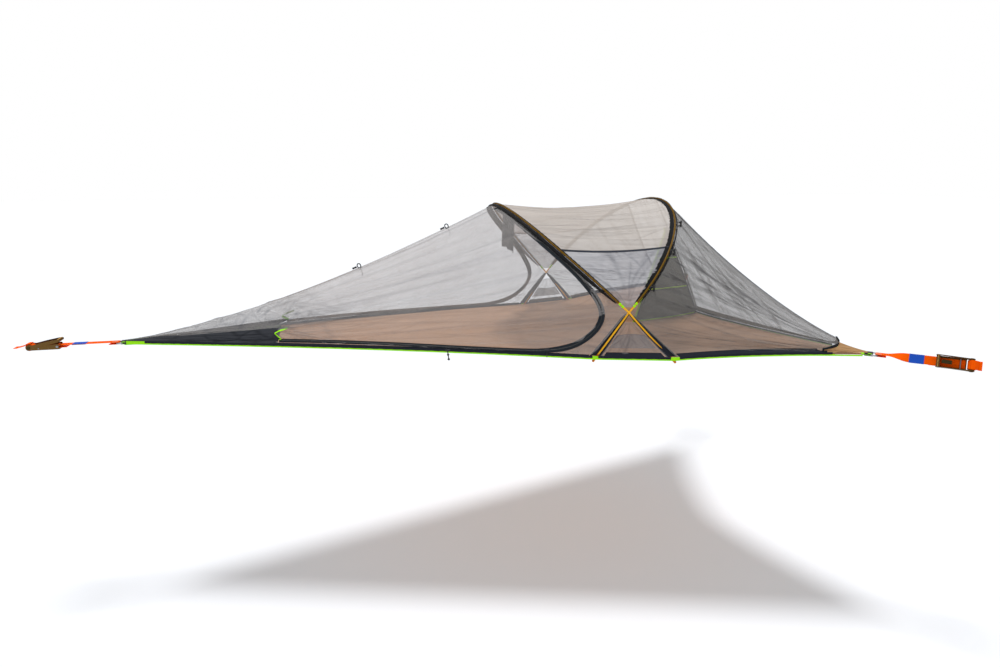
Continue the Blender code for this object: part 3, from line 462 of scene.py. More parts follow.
def declare(grid):
    """Work out a sheet's width, length and area from its flat grid; none of them is kept."""
    down = np.diff(grid, axis=0)
    over = np.diff(grid, axis=1)
    one = np.linalg.norm(np.cross(down[:, :-1], over[:-1]), axis=-1)
    two = np.linalg.norm(np.cross(down[:, 1:], over[1:]), axis=-1)
    area = 0.5 * np.sum(one + two)
    length = np.linalg.norm(down, axis=-1).sum(axis=0).max()
    width = np.linalg.norm(over, axis=-1).sum(axis=1).max()
    mean = area / length
    width = min(max(width, mean), mean / LEAST_COVER)


def panel(name, grid, mat, stands_for=None, held=None, wrinkles=None, soft=0.1, fold=None,
          thickness=0.0, body="tent", slot=None, inside=INSIDE):
    """A sheet, wrinkled away from its rim, whose size is worked out where it is held.

    Wrinkles are a height and a share of folding, one value for each point of the grid.
    """
    shape = grid
    if wrinkles is not None:
        height, folded = wrinkles
        shape = crumple(grid, height * edges(*shares(*grid.shape[:2]), soft))
        fold = folded if fold is None else fold
    piece = surface(name, shape, mat, fold, thickness, inside)
    settle(piece, stands_for, body)
    if held:
        declare(grid)


def rod(name, path, radius, sides, mat, stands_for=None, start=None, body="tent"):
    """A round bar or cord along a path, its radius one value or one for each point."""
    settle(tube(name, round_rings(path, radius, sides, start), mat), stands_for, body)


def tape(name, line, out, width, mat, off, crown=0.0005, **settings):
    """A flat tape sewn along a line, held off the cloth below it."""
    out = np.broadcast_to(out, line.shape)
    settings.setdefault("thickness", TAPE_T)
    panel(name, tape_grid(line + out * off, out, width, crown), mat, **settings)


# Finishes
# A wave texture's band repeats after this share of a metre over its scale
WAVE_PERIOD = 0.3142


def colour(code):
    """An sRGB hex code as linear red, green, blue and alpha."""
    c = np.array([int(code[i : i + 2], 16) for i in (1, 3, 5)]) / 255
    return (*np.where(c <= 0.04045, c / 12.92, ((c + 0.055) / 1.055) ** 2.4), 1.0)


def add(mat, kind, settings=None, out=0, **links):
    """Add a node to a material or world, set its values, link its inputs and return an output."""
    node = mat.node_tree.nodes.new("ShaderNode" + kind)
    for key, value in (settings or {}).items():
        if hasattr(node, key) and not key[0].isupper():
            setattr(node, key, value)
        else:
            node.inputs[int(key) if key.isdigit() else key].default_value = value
    for key, source in links.items():
        name = int(key[1:]) if key[0] == "_" else key.replace("_", " ")
        mat.node_tree.links.new(source, node.inputs[name])
    return node.outputs[out]


def new_material(name, slot, **values):
    """A material with constant values on its shader; the finish that it stands for is not used."""
    mat = bpy.data.materials.new(name)
    mat.use_nodes = True
    for key, value in values.items():
        mat.node_tree.nodes["Principled BSDF"].inputs[key.replace("_", " ")].default_value = value
    return mat


def wire(mat, **sources):
    """Link sockets to the inputs of a material's shader."""
    shader = mat.node_tree.nodes["Principled BSDF"]
    for key, source in sources.items():
        mat.node_tree.links.new(source, shader.inputs[key.replace("_", " ")])


def noise(mat, scale, detail, roughness=0.5):
    """Cloudy patches in object coordinates, a value from 0 to 1."""
    place = add(mat, "TexCoord", out="Object")
    values = {"Scale": scale, "Detail": detail, "Roughness": roughness}
    return add(mat, "TexNoise", values, "Fac", Vector=place)


def bands(mat, uv, way, pitch, distortion, detail=2.0):
    """Threads across U or V at a pitch in metres."""
    values = {"Scale": WAVE_PERIOD / pitch, "Distortion": distortion, "Detail": detail}
    return add(mat, "TexWave", {"bands_direction": way, **values}, "Fac", Vector=uv)


def weigh(mat, value, factor, term, clamp=True):
    """A value times a factor, plus a term that is a number or a socket."""
    values = {"operation": "MULTIPLY_ADD", "1": factor, "use_clamp": clamp}
    if isinstance(term, float):
        return add(mat, "Math", {**values, "2": term}, _0=value)
    return add(mat, "Math", values, _0=value, _2=term)


def dress(mat, first, second, share, height, strength, distance):
    """Blend two colours by a share, and raise the surface by a height in metres."""
    blend = {"data_type": "RGBA", "6": colour(first), "7": colour(second)}
    bump = {"Strength": strength, "Distance": distance}
    tint = add(mat, "Mix", blend, 2, _0=share)
    wire(mat, Base_Color=tint, Normal=add(mat, "Bump", bump, "Normal", Height=height))


def weave(mat, pitch):
    """Two crossed bands of threads."""
    uv = add(mat, "UVMap", {"uv_map": "metres"}, "UV")
    warp = bands(mat, uv, "X", pitch, 0.4)
    weft = bands(mat, uv, "Y", pitch, 0.4)
    return add(mat, "Math", {"operation": "ADD"}, _0=warp, _1=weft)


def netting(name, slot, light, dark, open_alpha, fold_alpha):
    """Knitted polyester insect netting: a haze of fine threads, denser where it is folded, with painted
    shade in its creases and darker seams.

    The real mesh is about 1.2 mm. It is drawn at 7.5 mm, faintly, so that it shows.
    """
    mat = new_material(name, slot, Roughness=0.9, Specular_IOR_Level=0.1)
    threads = weave(mat, 0.0075)
    fold = add(mat, "Attribute", {"attribute_name": "fold"}, "Fac")
    haze = weigh(mat, fold, fold_alpha, open_alpha, False)
    haze = weigh(mat, threads, 0.045, haze, False)
    wire(mat, Alpha=weigh(mat, noise(mat, 3.2, 5.0, 0.6), 0.22, haze))
    # The fold share also darkens the colour: painted shade in creases, and darker lines along seams
    dress(mat, light, dark, fold, threads, 0.15, 0.0006)
    return mat


def cloth(name, slot, light, dark, rough=0.6, pitch=0.004, alpha=1.0):
    """Coated woven cloth: a fine plain weave, with soft random patches of wear, darker along seams, and
    painted shade in its creases and gathers.

    The real weave is well under 1 mm. It is drawn at 2 to 4 mm, so that it shows.
    """
    mat = new_material(name, slot, Roughness=rough, Alpha=alpha, Specular_IOR_Level=0.12)
    fold = add(mat, "Attribute", {"attribute_name": "fold"}, "Fac")
    # Colour share: random wear patches plus the fold share, which is painted shade in creases and
    # gathers and a darker line along seams
    wear_and_painted_shading = weigh(mat, noise(mat, 6.0, 6.0, 0.65), 0.35, fold)
    dress(mat, light, dark, wear_and_painted_shading, weave(mat, pitch), 0.3, 0.0004)
    return mat


def strap_web(name, slot, light, dark):
    """Woven polyester webbing: ribs across its run, with a painted highlight on the ribs and painted
    shade in the grooves.
    """
    mat = new_material(name, slot, Roughness=0.85, Specular_IOR_Level=0.05)
    uv = add(mat, "UVMap", {"uv_map": "metres"}, "UV")
    ribs = bands(mat, uv, "X", 0.0032, 0.6, 1.0)
    lines = bands(mat, uv, "Y", 0.006, 0.3)
    both = add(mat, "Math", {"operation": "MULTIPLY"}, _0=ribs, _1=lines)
    # Random wear, plus a painted highlight on the ribs and painted shade in the grooves
    wear_and_painted_shading = weigh(mat, noise(mat, 25.0, 4.0), 0.5, both)
    dress(mat, dark, light, wear_and_painted_shading, both, 0.5, 0.0005)
    return mat


def metal(name, slot, light, dark, low, high, scale, metallic=1.0):
    """Plated or anodised metal: its tone and polish vary in fine patches, with small scratches."""
    mat = new_material(name, slot, Metallic=metallic)
    cloud = noise(mat, scale, 6.0, 0.65)
    reach = {"From Min": 0.3, "From Max": 0.7, "To Min": low, "To Max": high}
    wire(mat, Roughness=add(mat, "MapRange", reach, Value=cloud))
    dress(mat, dark, light, cloud, noise(mat, scale * 9, 3.0), 0.2, 0.0002)
    return mat


def plastic(name, slot, light, dark, rough=0.45):
    """Injection-moulded nylon: a slight grain and a dull sheen."""
    mat = new_material(name, slot, Roughness=rough, IOR=1.53)
    grain = noise(mat, 400.0, 3.0)
    dress(mat, dark, light, grain, grain, 0.25, 0.0002)
    return mat


# Warp-knitted nettings: pale in front, denser on the roof, darker in the rear
FRONT_NET = netting("pale_knitted_netting", "mesh_pale", "#B4B0AE", "#76767A", 0.245, 0.26)
ROOF_NET = netting("roof_knitted_netting", "mesh_pale", "#C9C1BA", "#87827F", 0.58, 0.28)
GUSSET_NET = netting("gusset_netting", "mesh_grey", "#B6B5B9", "#6A6C74", 0.46, 0.30)
REAR_NET = netting("grey_knitted_netting", "mesh_grey", "#8E8C8A", "#464546", 0.32, 0.42)
SIDE_NET = netting("side_netting", "mesh_grey", "#A8A2A0", "#5C5B60", 0.20, 0.30)
POCKET_NET = netting("pocket_netting", "pocket_green", "#8F8E92", "#4E4F58", 0.50, 0.25)
# Piece-dyed cloths, coated on one side: dull, flat tones, with painted shade that darkens them in the
# folds
FLOOR_CLOTH = cloth("tan_coated_floor_cloth", "floor_tan", "#E4B694", "#B88D6A")
CORNER_CLOTH = cloth("tan_corner_cloth", "floor_tan", "#B58E64", "#8E6C46")
TIP_CLOTH = cloth("dark_grey_coated_cloth", "tip_grey", "#3A3C42", "#202227")
SKIRT_CLOTH = cloth("navy_coated_cloth", "tip_grey", "#252833", "#15171D")
DIVIDER_CLOTH = cloth("grey_green_cloth", "pocket_green", "#64665A", "#484A40", 0.8, alpha=0.88)
FLAP_CLOTH = cloth("grey_tie_cloth", "mesh_grey", "#505156", "#36373B", 0.75)
SLEEVE = cloth("black_sleeve_cloth", "sleeve_black", "#1A1B1D", "#0D0D0E", 0.75)
# Sheer woven sleeve: the orange pole shows through it
SLEEVE_VEIL = cloth("black_sleeve_mesh", "sleeve_black", "#1C1A18", "#100F0E", 0.75, alpha=0.60)
# Narrow woven tapes, folded over raw edges and sewn: a tighter weave and crisp rims
BINDING = cloth("dark_grosgrain_binding", "mesh_grey", "#3F424B", "#26282F", 0.7, 0.003)
LIME_BINDING = cloth("lime_grosgrain_binding", "pocket_green", "#C4FF3C", "#9CDC28", 0.7, 0.003)
ZIP_TAPE = cloth("zip_tape", "black_zip", "#272D33", "#171B1F", 0.65, 0.003)
TAG = cloth("blue_woven_tag", "orange_webbing", "#1F55C4", "#123A93", 0.6, 0.002)
STITCH = cloth("pale_stitching", "orange_webbing", "#F2E2D0", "#D0B79C", 0.7, 0.002)
# Solution-dyed webbings: bright, with the light caught on their ribs
LIME_WEB = strap_web("lime_polyester_webbing", "lime_webbing", "#B8FF2A", "#8EF016")
ORANGE_WEB = strap_web("orange_polyester_webbing", "orange_webbing", "#FF6C00", "#F44A00")
# Drawn tube, dyed in its anodised layer: the colour is even and the gloss soft
POLE = metal("orange_anodised_aluminium", "pole_orange", "#FFC400", "#FFB000", 0.22, 0.38, 40.0, 0.0)
POLE_END = metal("turned_aluminium", "silver_steel", "#E08A30", "#B4661C", 0.25, 0.4, 80.0)
# Pressed steel, passivated after zinc plating: patchy brown gold, rubbed duller where parts slide
BRONZE = metal("yellow_chromated_steel", "bronze_zinc", "#8A6A3A", "#4A3820", 0.28, 0.55, 90.0)
BRONZE_DARK = metal("worn_chromated_steel", "bronze_zinc", "#5E5230", "#2E2A1C", 0.35, 0.6, 90.0)
STEEL = metal("zinc_plated_steel", "silver_steel", "#A9ABAF", "#7C7E83", 0.3, 0.5, 70.0)
# Die-cast and blackened: a dark grey that shines only at its edges
GUNMETAL = metal("blackened_zinc_slider", "silver_steel", "#54565B", "#303236", 0.35, 0.55, 120.0)
# Moulded parts: near black, with a fine grain from the mould
BLACK = plastic("black_moulded_nylon", "black_zip", "#1B1B1D", "#0E0E10")
ZIP_COIL = plastic("moulded_zip_coil", "black_zip", "#15191D", "#0C0F12", 0.4)


# Floor and edges
FLOOR_T = 0.0018
FLOOR_NARROWS = 0.07
TIP_FLOOR_START = 0.075
WEB_START = 0.036
WEB_STOP = 0.060
REAR_WEB_INSET = 0.085
WRAP_OUT = 0.0030
WRAP_LIP = 0.004
WRAP_TOP = 0.0018
EDGE_WRAP_HEIGHT = 0.0115
REAR_WRAP_HEIGHT = 0.0112
WRAP_GAP = 0.010


def floor_piece(name, x, w, mat, seed, lift):
    """A part of the floor, sagging, with creases that run along it and pull towards the corners."""
    a, b = shares(len(x), len(w))
    last = np.clip((x - LENGTH + 0.060) / 0.056, 0, 1)[:, None]
    grid = floor_point(x[:, None], w[None] * (1 - FLOOR_NARROWS * last))
    long, fold = creases(a, b, seed, 34, 0.022, lift, 0.6, 0.25)
    cross, deep = creases(b, a, seed + 1, 16, 0.02, lift * 0.7, 0.4, 0.3)
    grid[..., 2] += (long + cross) * edges(a, b, 0.05)
    # The crease share is painted shade along the floor's creases
    fold = np.maximum(fold, deep) * 0.7 * edges(a, b, 0.03)
    above = INSIDE + UP * 9
    panel(name, grid, mat, "floor_panel", "stretched", fold=fold, thickness=FLOOR_T, inside=above)


def fold_over(line, out, height, outer, inner):
    """A strip folded over a line: up its outer side, across the top and down its inner side."""
    base = line + UP * height
    outside = ((WRAP_OUT, outer), (WRAP_OUT, WRAP_LIP), (WRAP_TOP, 0))
    steps = outside + ((-WRAP_TOP, 0), (-WRAP_OUT, WRAP_LIP), (-WRAP_OUT, inner))
    return np.stack([base + out * way - UP * down for way, down in steps], 1)


w = np.linspace(-1, 1, 90)
tip_edge = TIP_END * FRONT_FOOT_X
floor_piece("floor_cloth", np.linspace(tip_edge, LENGTH - 0.004, 224), w, FLOOR_CLOTH, 3, 0.0060)
floor_piece("tip_floor_cloth", np.linspace(TIP_FLOOR_START, tip_edge, 70), w[::2], TIP_CLOTH, 5, 0.0015)

for side, name in SIDES:
    x = np.linspace(WEB_START, LENGTH - WEB_STOP, 260)
    line = np.stack([TIP_X + x, side * REAR_WIDTH / 2 * x / LENGTH, -edge_drop(x)], -1)
    line = line - OUTSET * inward(side)
    rise = np.linspace(-1, 1, 5)
    curl = 0.0008 * np.sin(np.linspace(0, 90, len(line)))[:, None, None] * rise[None, :, None] ** 2
    # Slimmer beside the rear corner, where the strap takes over
    slim = 1 - 0.6 * np.clip((line[:, 0] - TIP_X - LENGTH + 0.26) / 0.06, 0, 1)
    drop = -WEB_H / 2 * (1 - slim)
    grid = line[:, None] + (slim[:, None] * WEB_H / 2 * rise + drop[:, None])[..., None] * UP
    band = grid + curl * inward(side)
    panel(f"{name}_edge_band", band, LIME_WEB, f"{name}_edge_webbing", "stretched", thickness=BAND_T)
    wrap = fold_over(line, -inward(side), EDGE_WRAP_HEIGHT, 0.0130, 0.0130)
    wrap[..., 2] += 0.0006 * np.sin(np.arange(260) * 1.7)[:, None] * np.array([1, 0, 0, 0, 0, 1])
    x = line[:, 0] - TIP_X
    stops = (0.12, FRONT_FOOT_X, REAR_FOOT_X, LENGTH - 0.20)
    for k in range(3):
        keep = (x > stops[k] + WRAP_GAP) & (x < stops[k + 1] - WRAP_GAP)
        panel(f"{name}_edge_fold_{k + 1}", wrap[keep], SKIRT_CLOTH, thickness=FOLD_T)

w = np.linspace(-1, 1, 140) * (1 - REAR_WEB_INSET / (REAR_WIDTH / 2))
line = np.stack([CORNER[0] - bow(w), w * REAR_WIDTH / 2, np.zeros_like(w)], -1)
away = unit(np.cross(np.gradient(line, axis=0), UP))
line = line + away * (WEB_T / 2 + CLEAR * 2)
grid = line[:, None] + (WEB_H / 2 * np.linspace(-1, 0.1, 5))[None, :, None] * UP
panel("rear_edge_band", grid, LIME_WEB, "rear_edge_webbing", "stretched", thickness=BAND_T)
wrap = fold_over(line, away, REAR_WRAP_HEIGHT, 0.015, 0.009)
panel("rear_edge_fold", wrap[8:-8], SKIRT_CLOTH, thickness=FOLD_T)


# Front panels: the zip's curve in surface shares, its straight stretch by heights over the edge
BOTTOM_U = np.array([0.330, 0.358, 0.450, 0.544, 0.688, 0.796, 0.870])
BOTTOM_HEIGHT = np.array([0.016, 0.017, 0.018, 0.017, 0.013, 0.011, 0.011])
ROUND_CORNER = [
    (0.914, 0.018), (0.940, 0.028), (0.958, 0.054), (0.969, 0.106), (0.966, 0.172), (0.966, 0.244),
    (0.980, 0.323), (0.988, 0.403), (0.989, 0.505), (0.989, 0.64), (0.989, 0.78), (0.989, 0.93),
]
BOTTOM = np.stack([BOTTOM_U, height_shares("front", BOTTOM_U, BOTTOM_HEIGHT)], -1)
ZIP = smooth_path(np.concatenate([BOTTOM, ROUND_CORNER]), 240, 13)
SKIRT_HEIGHT = 0.006
SKIRT_END = 0.993
TURN_U = 0.955
TURN_SPOT = (0.945, 0.036)
ZIP_OFF = 0.0012
ZIP_WIDTH = 0.021
ZIP_WIDENS = 0.013
COIL_R = 0.0030
COIL_TEETH = 0.0006
TIP_T = 0.0011
DOOR_TOP = ARCH[-2] - 0.003


def skirt_top(u):
    """The share at which the netting begins above the skirt."""
    return height_shares("front", u, SKIRT_HEIGHT)


def patch(bottom, right, top, left):
    """A grid inside four curves of surface shares: the sum of two blends less the corners'."""
    a = np.linspace(0, 1, len(bottom))[:, None, None]
    b = np.linspace(0, 1, len(right))[None, :, None]
    one = bottom[:, None] * (1 - b) + top[:, None] * b
    two = left[None] * (1 - a) + right[None] * a
    low = bottom[0] * (1 - a) + bottom[-1] * a
    high = top[0] * (1 - a) + top[-1] * a
    return one + two - low * (1 - b) - high * b


def even(points, count):
    """Points of a curve at even steps of its run."""
    d = np.concatenate([[0], np.cumsum(np.linalg.norm(np.diff(points, axis=0) * [1, 0.6], axis=1))])
    s = np.linspace(0, d[-1], count)
    return np.stack([np.interp(s, d, points[:, k]) for k in (0, 1)], -1)


def front_wrinkles(u, v, seed):
    """Long soft wrinkles along the threads, and short gathers near the tip's cloth."""
    h1, f1 = creases(u, v, seed, 30, 0.016, 0.0065, 0.55, 0.10)
    h2, f2 = creases(u, v, seed + 1, 34, 0.006, 0.0030, 0.22, 0.12)
    near_tip = np.clip((0.56 - u) / 0.2, 0, 1)
    h3, f3 = creases(v, (u - 0.33) / 0.25, seed + 2, 22, 0.05, 0.0045, 0.35, 0.5)
    # Gathers that fan out from the end of the tip's cloth
    x = (u - 0.325) / 0.17
    y = (v - 0.42) * 1.4
    reach = np.hypot(x, y)
    turn = np.arctan2(y, x) / np.pi + 0.5
    h4, f4 = creases(np.clip(reach, 0, 1), turn, seed + 3, 46, 0.010, 0.0050, 0.8, 0.05)
    fade = np.clip(1.15 - reach, 0, 1) * np.clip(reach * 5, 0, 1)
    height = h1 + h2 + h3 * near_tip + h4 * fade
    fold = 0.34 * f1 + 0.36 * f2 + 0.7 * f3 * near_tip + 0.9 * f4 * fade + 0.16 * near_tip
    return height, np.clip(fold, 0, 1)


# The door's outline in surface shares, and the grid inside it
turn = np.argmin(np.abs(ZIP[:, 0] - TURN_SPOT[0]) + np.abs(ZIP[:, 1] - TURN_SPOT[1]) * 3)
bottom = even(ZIP[: turn + 1], 150)
right = even(ZIP[turn:], 100)
top = np.stack([np.linspace(TIP_END, right[-1, 0], 150), np.full(150, DOOR_TOP)], -1)
right = np.concatenate([right[:-1], top[-1:]])
left = np.stack([np.full(100, TIP_END), np.linspace(bottom[0, 1], DOOR_TOP, 100)], -1)
door_uv = patch(bottom, right, top, left)

# The strip between the zip and the edge, in one piece round the corner
path = even(ZIP, 220)
u, v = path.T
low = skirt_top(u)
past = 1 - TURN_U
corner_u = np.clip((u - 0.80) / (TURN_U - 0.80), 0, 1)
level = np.stack([u + past * corner_u**2, np.interp(u + past * corner_u**2, u[:140], low[:140])], -1)
upright = np.stack([np.ones(220), v * np.clip((v - 0.045) / 0.1, 0, 1) ** 0.5 + 0.012], -1)
outer = np.where((np.arange(220) < np.argmax(u > TURN_U))[:, None], level, upright)
outer[:, 0] = np.minimum(outer[:, 0], 1)
outer[:, 1] = np.minimum(np.maximum(outer[:, 1], skirt_top(outer[:, 0])), DOOR_TOP)
r = np.linspace(0, 1, 9)
strip_uv = path[:, None] * (1 - r)[None, :, None] + outer[:, None] * r[None, :, None]

for side, name in SIDES:
    grid = fan("front", door_uv[..., 0], door_uv[..., 1], side)
    a, b = shares(150, 100)
    height, fold = front_wrinkles(door_uv[..., 0], door_uv[..., 1], 20 + side)
    grid = crumple(grid, height * edges(a, b, 0.05))
    seam = np.maximum(np.exp(-((a / 0.006) ** 2)), np.exp(-(((1 - b) / 0.008) ** 2)))
    fold = np.maximum(fold * edges(a, b, 0.02), seam * 0.8)
    door = f"{name}_door"
    panel(f"{name}_door_netting", grid, FRONT_NET, door, "hung", fold=fold, body=door)
    grid = fan("front", strip_uv[..., 0], strip_uv[..., 1], side)
    a, b = shares(220, 9)
    wrinkles = creases(b, a, 50 + side, 60, 0.006, 0.003, 1.0, 0.02)
    panel(f"{name}_lower_netting", grid, FRONT_NET, door, "stretched", wrinkles)

    # Zip: a tape along the curve with a raised coil
    fine = even(ZIP, 420)
    u, v = fine.T
    line = smooth_path(fan("front", u, v, side), 420, 61)
    step = 0.004
    across = fan("front", u + step, v, side) - fan("front", u - step, v, side)
    rise = fan("front", u, v + step, side) - fan("front", u, v - step, side)
    out = unit(smooth_path(unit(np.cross(across, rise)), 420, 61)) * -side
    wide = ZIP_WIDTH + ZIP_WIDENS * np.clip((u - 0.90) / 0.05, 0, 1)
    grid = tape_grid(line + out * ZIP_OFF, out, wide, 0.0006, 7)
    panel(f"{name}_zip_tape", grid, ZIP_TAPE, f"{name}_door_zip", "stretched", thickness=TAPE_T)
    teeth = COIL_R + COIL_TEETH * np.sign(np.sin(np.arange(420) * 2.2))
    rod(f"{name}_zip_coil", line + out * COIL_R, teeth, 8, ZIP_COIL, f"{name}_door_zip")

    # Skirt: dark cloth between the webbing and the netting
    u = np.linspace(TIP_END, SKIRT_END, 200)
    share = skirt_top(u)[:, None] * np.linspace(0, 1, 6)
    grid = fan("front", u[:, None], share, side)
    a, b = shares(200, 6)
    wrinkles = creases(b, a, 70 + side, 50, 0.004, 0.0015, 1.0, 0.02)
    panel(f"{name}_skirt_cloth", grid, SKIRT_CLOTH, f"{name}_skirt", "stretched", wrinkles, 0.2,
          thickness=TAPE_T)

# Netting on both sides of the ridge
a, b = shares(150, 15)
over = 2 * b - 1
u = TIP_END + (1 - TIP_END) * a
share = 1 - np.abs(over) * (1 - DOOR_TOP)
grid = np.where(over[..., None] < 0, fan("front", u, share, -1), fan("front", u, share, 1))
height, fold = creases(a, b, 81, 20, 0.05, 0.003, 0.4, 0.1)
fold = np.maximum(fold, np.exp(-((over / 0.10) ** 2)))
panel("ridge_netting", grid, FRONT_NET, "ridge_strip", "stretched", (height, fold))

# The tip's two cloths, up to a line that falls towards the doors, and netting above it
SOLID_TOP = [(0.0, 0.90), (0.09, 0.73), (0.138, 0.563), (0.22, 0.50), (0.309, 0.447), (TIP_END, 0.437)]
SOLID_END = [(0, 0.326), (0.19, 0.327), (0.352, 0.333), (0.392, 0.350), (0.421, 0.372), (0.437, 0.380)]
for side, name in SIDES:
    u = np.linspace(0.009, TIP_END, 90)
    line_v = np.interp(u, *np.array(SOLID_TOP).T) * (1 if side < 0 else 0.6)
    r = np.linspace(0, 1, 46)
    late = (u[:, None] / TIP_END) ** 12
    a, b = shares(90, 46)
    window = edges(a, b, 0.06) * np.clip(a * 2, 0.1, 1)
    for part in ("solid", "mesh"):
        solid = part == "solid"
        low, high = (0 * u, line_v) if solid else (line_v, 0 * u + 1)
        share = low[:, None] * (1 - r) + high[:, None] * r
        end = np.interp(share, *np.array(SOLID_END).T) if solid else TIP_END
        grid = fan("front", u[:, None] + (end - TIP_END) * late, share, side)
        grid = outset(grid, 0.002 * late * solid)
        height, fold = creases(a, b, 90 + side + (0 if solid else 4), 26, 0.02, 0.0035, 0.5, 0.15)
        more, deep = creases(b, a, 95 + side, 22, 0.03, 0.0030, 0.5, 0.4)
        calm = 1.0 if not solid else 0.6 if side < 0 else 0.35
        shape = crumple(grid, (height + more) * window * calm)
        # The crease share is painted shade in the creases; the netting also gets a constant extra share,
        # darker and denser
        fold = np.maximum(fold, deep) * 0.8 + (0 if solid else 0.22)
        mat = TIP_CLOTH if solid else FRONT_NET
        piece = surface(f"{name}_tip_{part}", shape, mat, fold, TIP_T if solid else 0, INSIDE)
        settle(piece, "tip_patch")
        declare(grid)


# Roof and gussets
def roof_wrinkles(t, q, seed, lift):
    """Fine wrinkles that run from hoop to hoop, and a few broad waves."""
    h1, f1 = creases(q, t, seed, 60, 0.008, lift, 0.7, 0.03)
    h2, f2 = creases(q, t, seed + 1, 14, 0.03, lift * 1.8, 0.8, 0.06)
    h3, f3 = creases(q, t, seed + 2, 60, 0.004, lift * 0.5, 0.4, 0.05)
    return h1 + h2 + h3, np.clip(0.5 * f1 + 0.3 * f2 + 0.7 * f3, 0, 1)


SIDE_TOP = 0.172
POCKET_T = (0.040, 0.105)
POCKET_BULGE = 0.030
q = np.linspace(0, 1, 60)
t = np.linspace(ARCH[5], 1, 130)
near = roof_point(t[:, None], q[None], -1)
far = roof_point(t[:, None], q[None], 1)[::-1][1:]
grid = np.concatenate([near, far])
wrinkles = roof_wrinkles(*shares(len(grid), 60), 110, 0.0040)
panel("roof_netting", grid, ROOF_NET, "roof_panel", "stretched", wrinkles, 0.04)
for side, name in SIDES:
    t = np.linspace(ARCH[0] - 0.02, ARCH[5], 70)
    grid = roof_point(t[:, None], q[None], side)
    a, b = shares(70, 60)
    height, fold = roof_wrinkles(a, b, 120 + side, 0.0030)
    slow, deep = creases(a, b, 125 + side, 12, 0.05, 0.004, 0.8, 0.3)
    wrinkles = (height + slow, np.maximum(fold, 0.7 * deep))
    panel(f"{name}_gusset_netting", grid, GUSSET_NET, f"{name}_gusset", "stretched", wrinkles, 0.08)
    line = roof_point(np.full(60, ARCH[5]), q, side)
    tape(f"{name}_gusset_seam", line, unit(line - INSIDE), 0.012, BINDING, 0.0016, 0.0004)

    # The side triangle and its pocket
    grid = side_point(np.linspace(0, SIDE_TOP, 50)[:, None], np.linspace(0, 1, 40)[None], side)
    wrinkles = creases(*shares(50, 40), 130 + side, 16, 0.04, 0.003, 0.7, 0.2)
    panel(f"{name}_side_netting", grid, SIDE_NET, f"{name}_side_panel", "stretched", wrinkles)
    a, b = shares(40, 60)
    bulge = np.sin(a * np.pi / 2) * np.sin(np.linspace(0, np.pi, 60))[None]
    depth = CLOTH + CLEAR * 2 + POCKET_BULGE * bulge
    grid = side_point(np.linspace(*POCKET_T, 40)[:, None], np.linspace(0.06, 0.94, 60)[None], side)
    grid = grid + depth[..., None] * inward(side)
    height, fold = creases(a, b, 140 + side, 18, 0.03, 0.0022, 0.8, 0.2)
    wrinkles = (height, np.maximum(fold, np.exp(-(((1 - a) / 0.05) ** 2))))
    panel(f"{name}_pocket_netting", grid, POCKET_NET, f"{name}_side_pocket", "stretched", wrinkles)


# Rear
FLAP_T = 0.0012
CORNER_TAPE_W = 0.022
SEAM_TAPE_W = 0.014
REAR_SKIRT_HEIGHT = 0.017
TENSION = (0.46, 0.76)
for side, name in SIDES:
    a, b = shares(110, 100)
    begin = 0.240 - 0.075 * np.clip(b / 0.68, 0, 1)
    grid = fan("rear", begin + (1 - begin) * a, REAR_TOP * b, side)
    h1, f1 = creases(a, b, 150 + side, 40, 0.012, 0.0055, 0.8, 0.06)
    h2, f2 = creases(a, b, 155 + side, 40, 0.006, 0.0030, 0.5, 0.08)
    along_top = np.clip((b - 0.45) / 0.55, 0, 1) ** 1.5
    # Fine lines of tension beside the ridge
    h3, f3 = creases(a, (b - TENSION[0]) / 0.30, 158 + side, 26, 0.016, 0.0024, 0.9, 0.10)
    inside_band = np.clip((b - TENSION[0]) * (TENSION[1] - b) * 90, 0, 1)
    fold = np.clip(0.6 * f1 + 0.6 * f2 + 0.5 * along_top + 0.9 * f3 * inside_band, 0, 1)
    wrinkles = (h1 + h2 + h3 * inside_band, fold)
    panel(f"{name}_rear_netting", grid, REAR_NET, f"{name}_rear_panel", "stretched", wrinkles, 0.06)
    # Dark tapes: along the netting's foot, along its cut end by the corner, and up the ridge
    foot = 0.235 + 0.752 * np.linspace(0, 1, 120)
    rows = height_shares("rear", foot, REAR_SKIRT_HEIGHT)[:, None] * np.linspace(0, 1, 6)
    band = outset(fan("rear", foot[:, None], rows, side), 0.0015)
    panel(f"{name}_rear_skirt", band, SKIRT_CLOTH, thickness=TAPE_T)
    flap = fan("rear", 0.030 + (begin - 0.030) * a, 0.62 * b, side)
    wrinkles = creases(a, b, 175 + side, 10, 0.05, 0.002, 0.6, 0.2)
    panel(f"{name}_corner_flap", flap, CORNER_CLOTH, wrinkles=wrinkles, thickness=FLAP_T)
    line = grid[0]
    tape(f"{name}_corner_tape", line, unit(line - INSIDE), CORNER_TAPE_W, ZIP_TAPE, 0.0022)
    line = grid[:, -1]
    tape(f"{name}_rear_ridge_tape", line, unit(line - INSIDE), SEAM_TAPE_W, BINDING, 0.002)

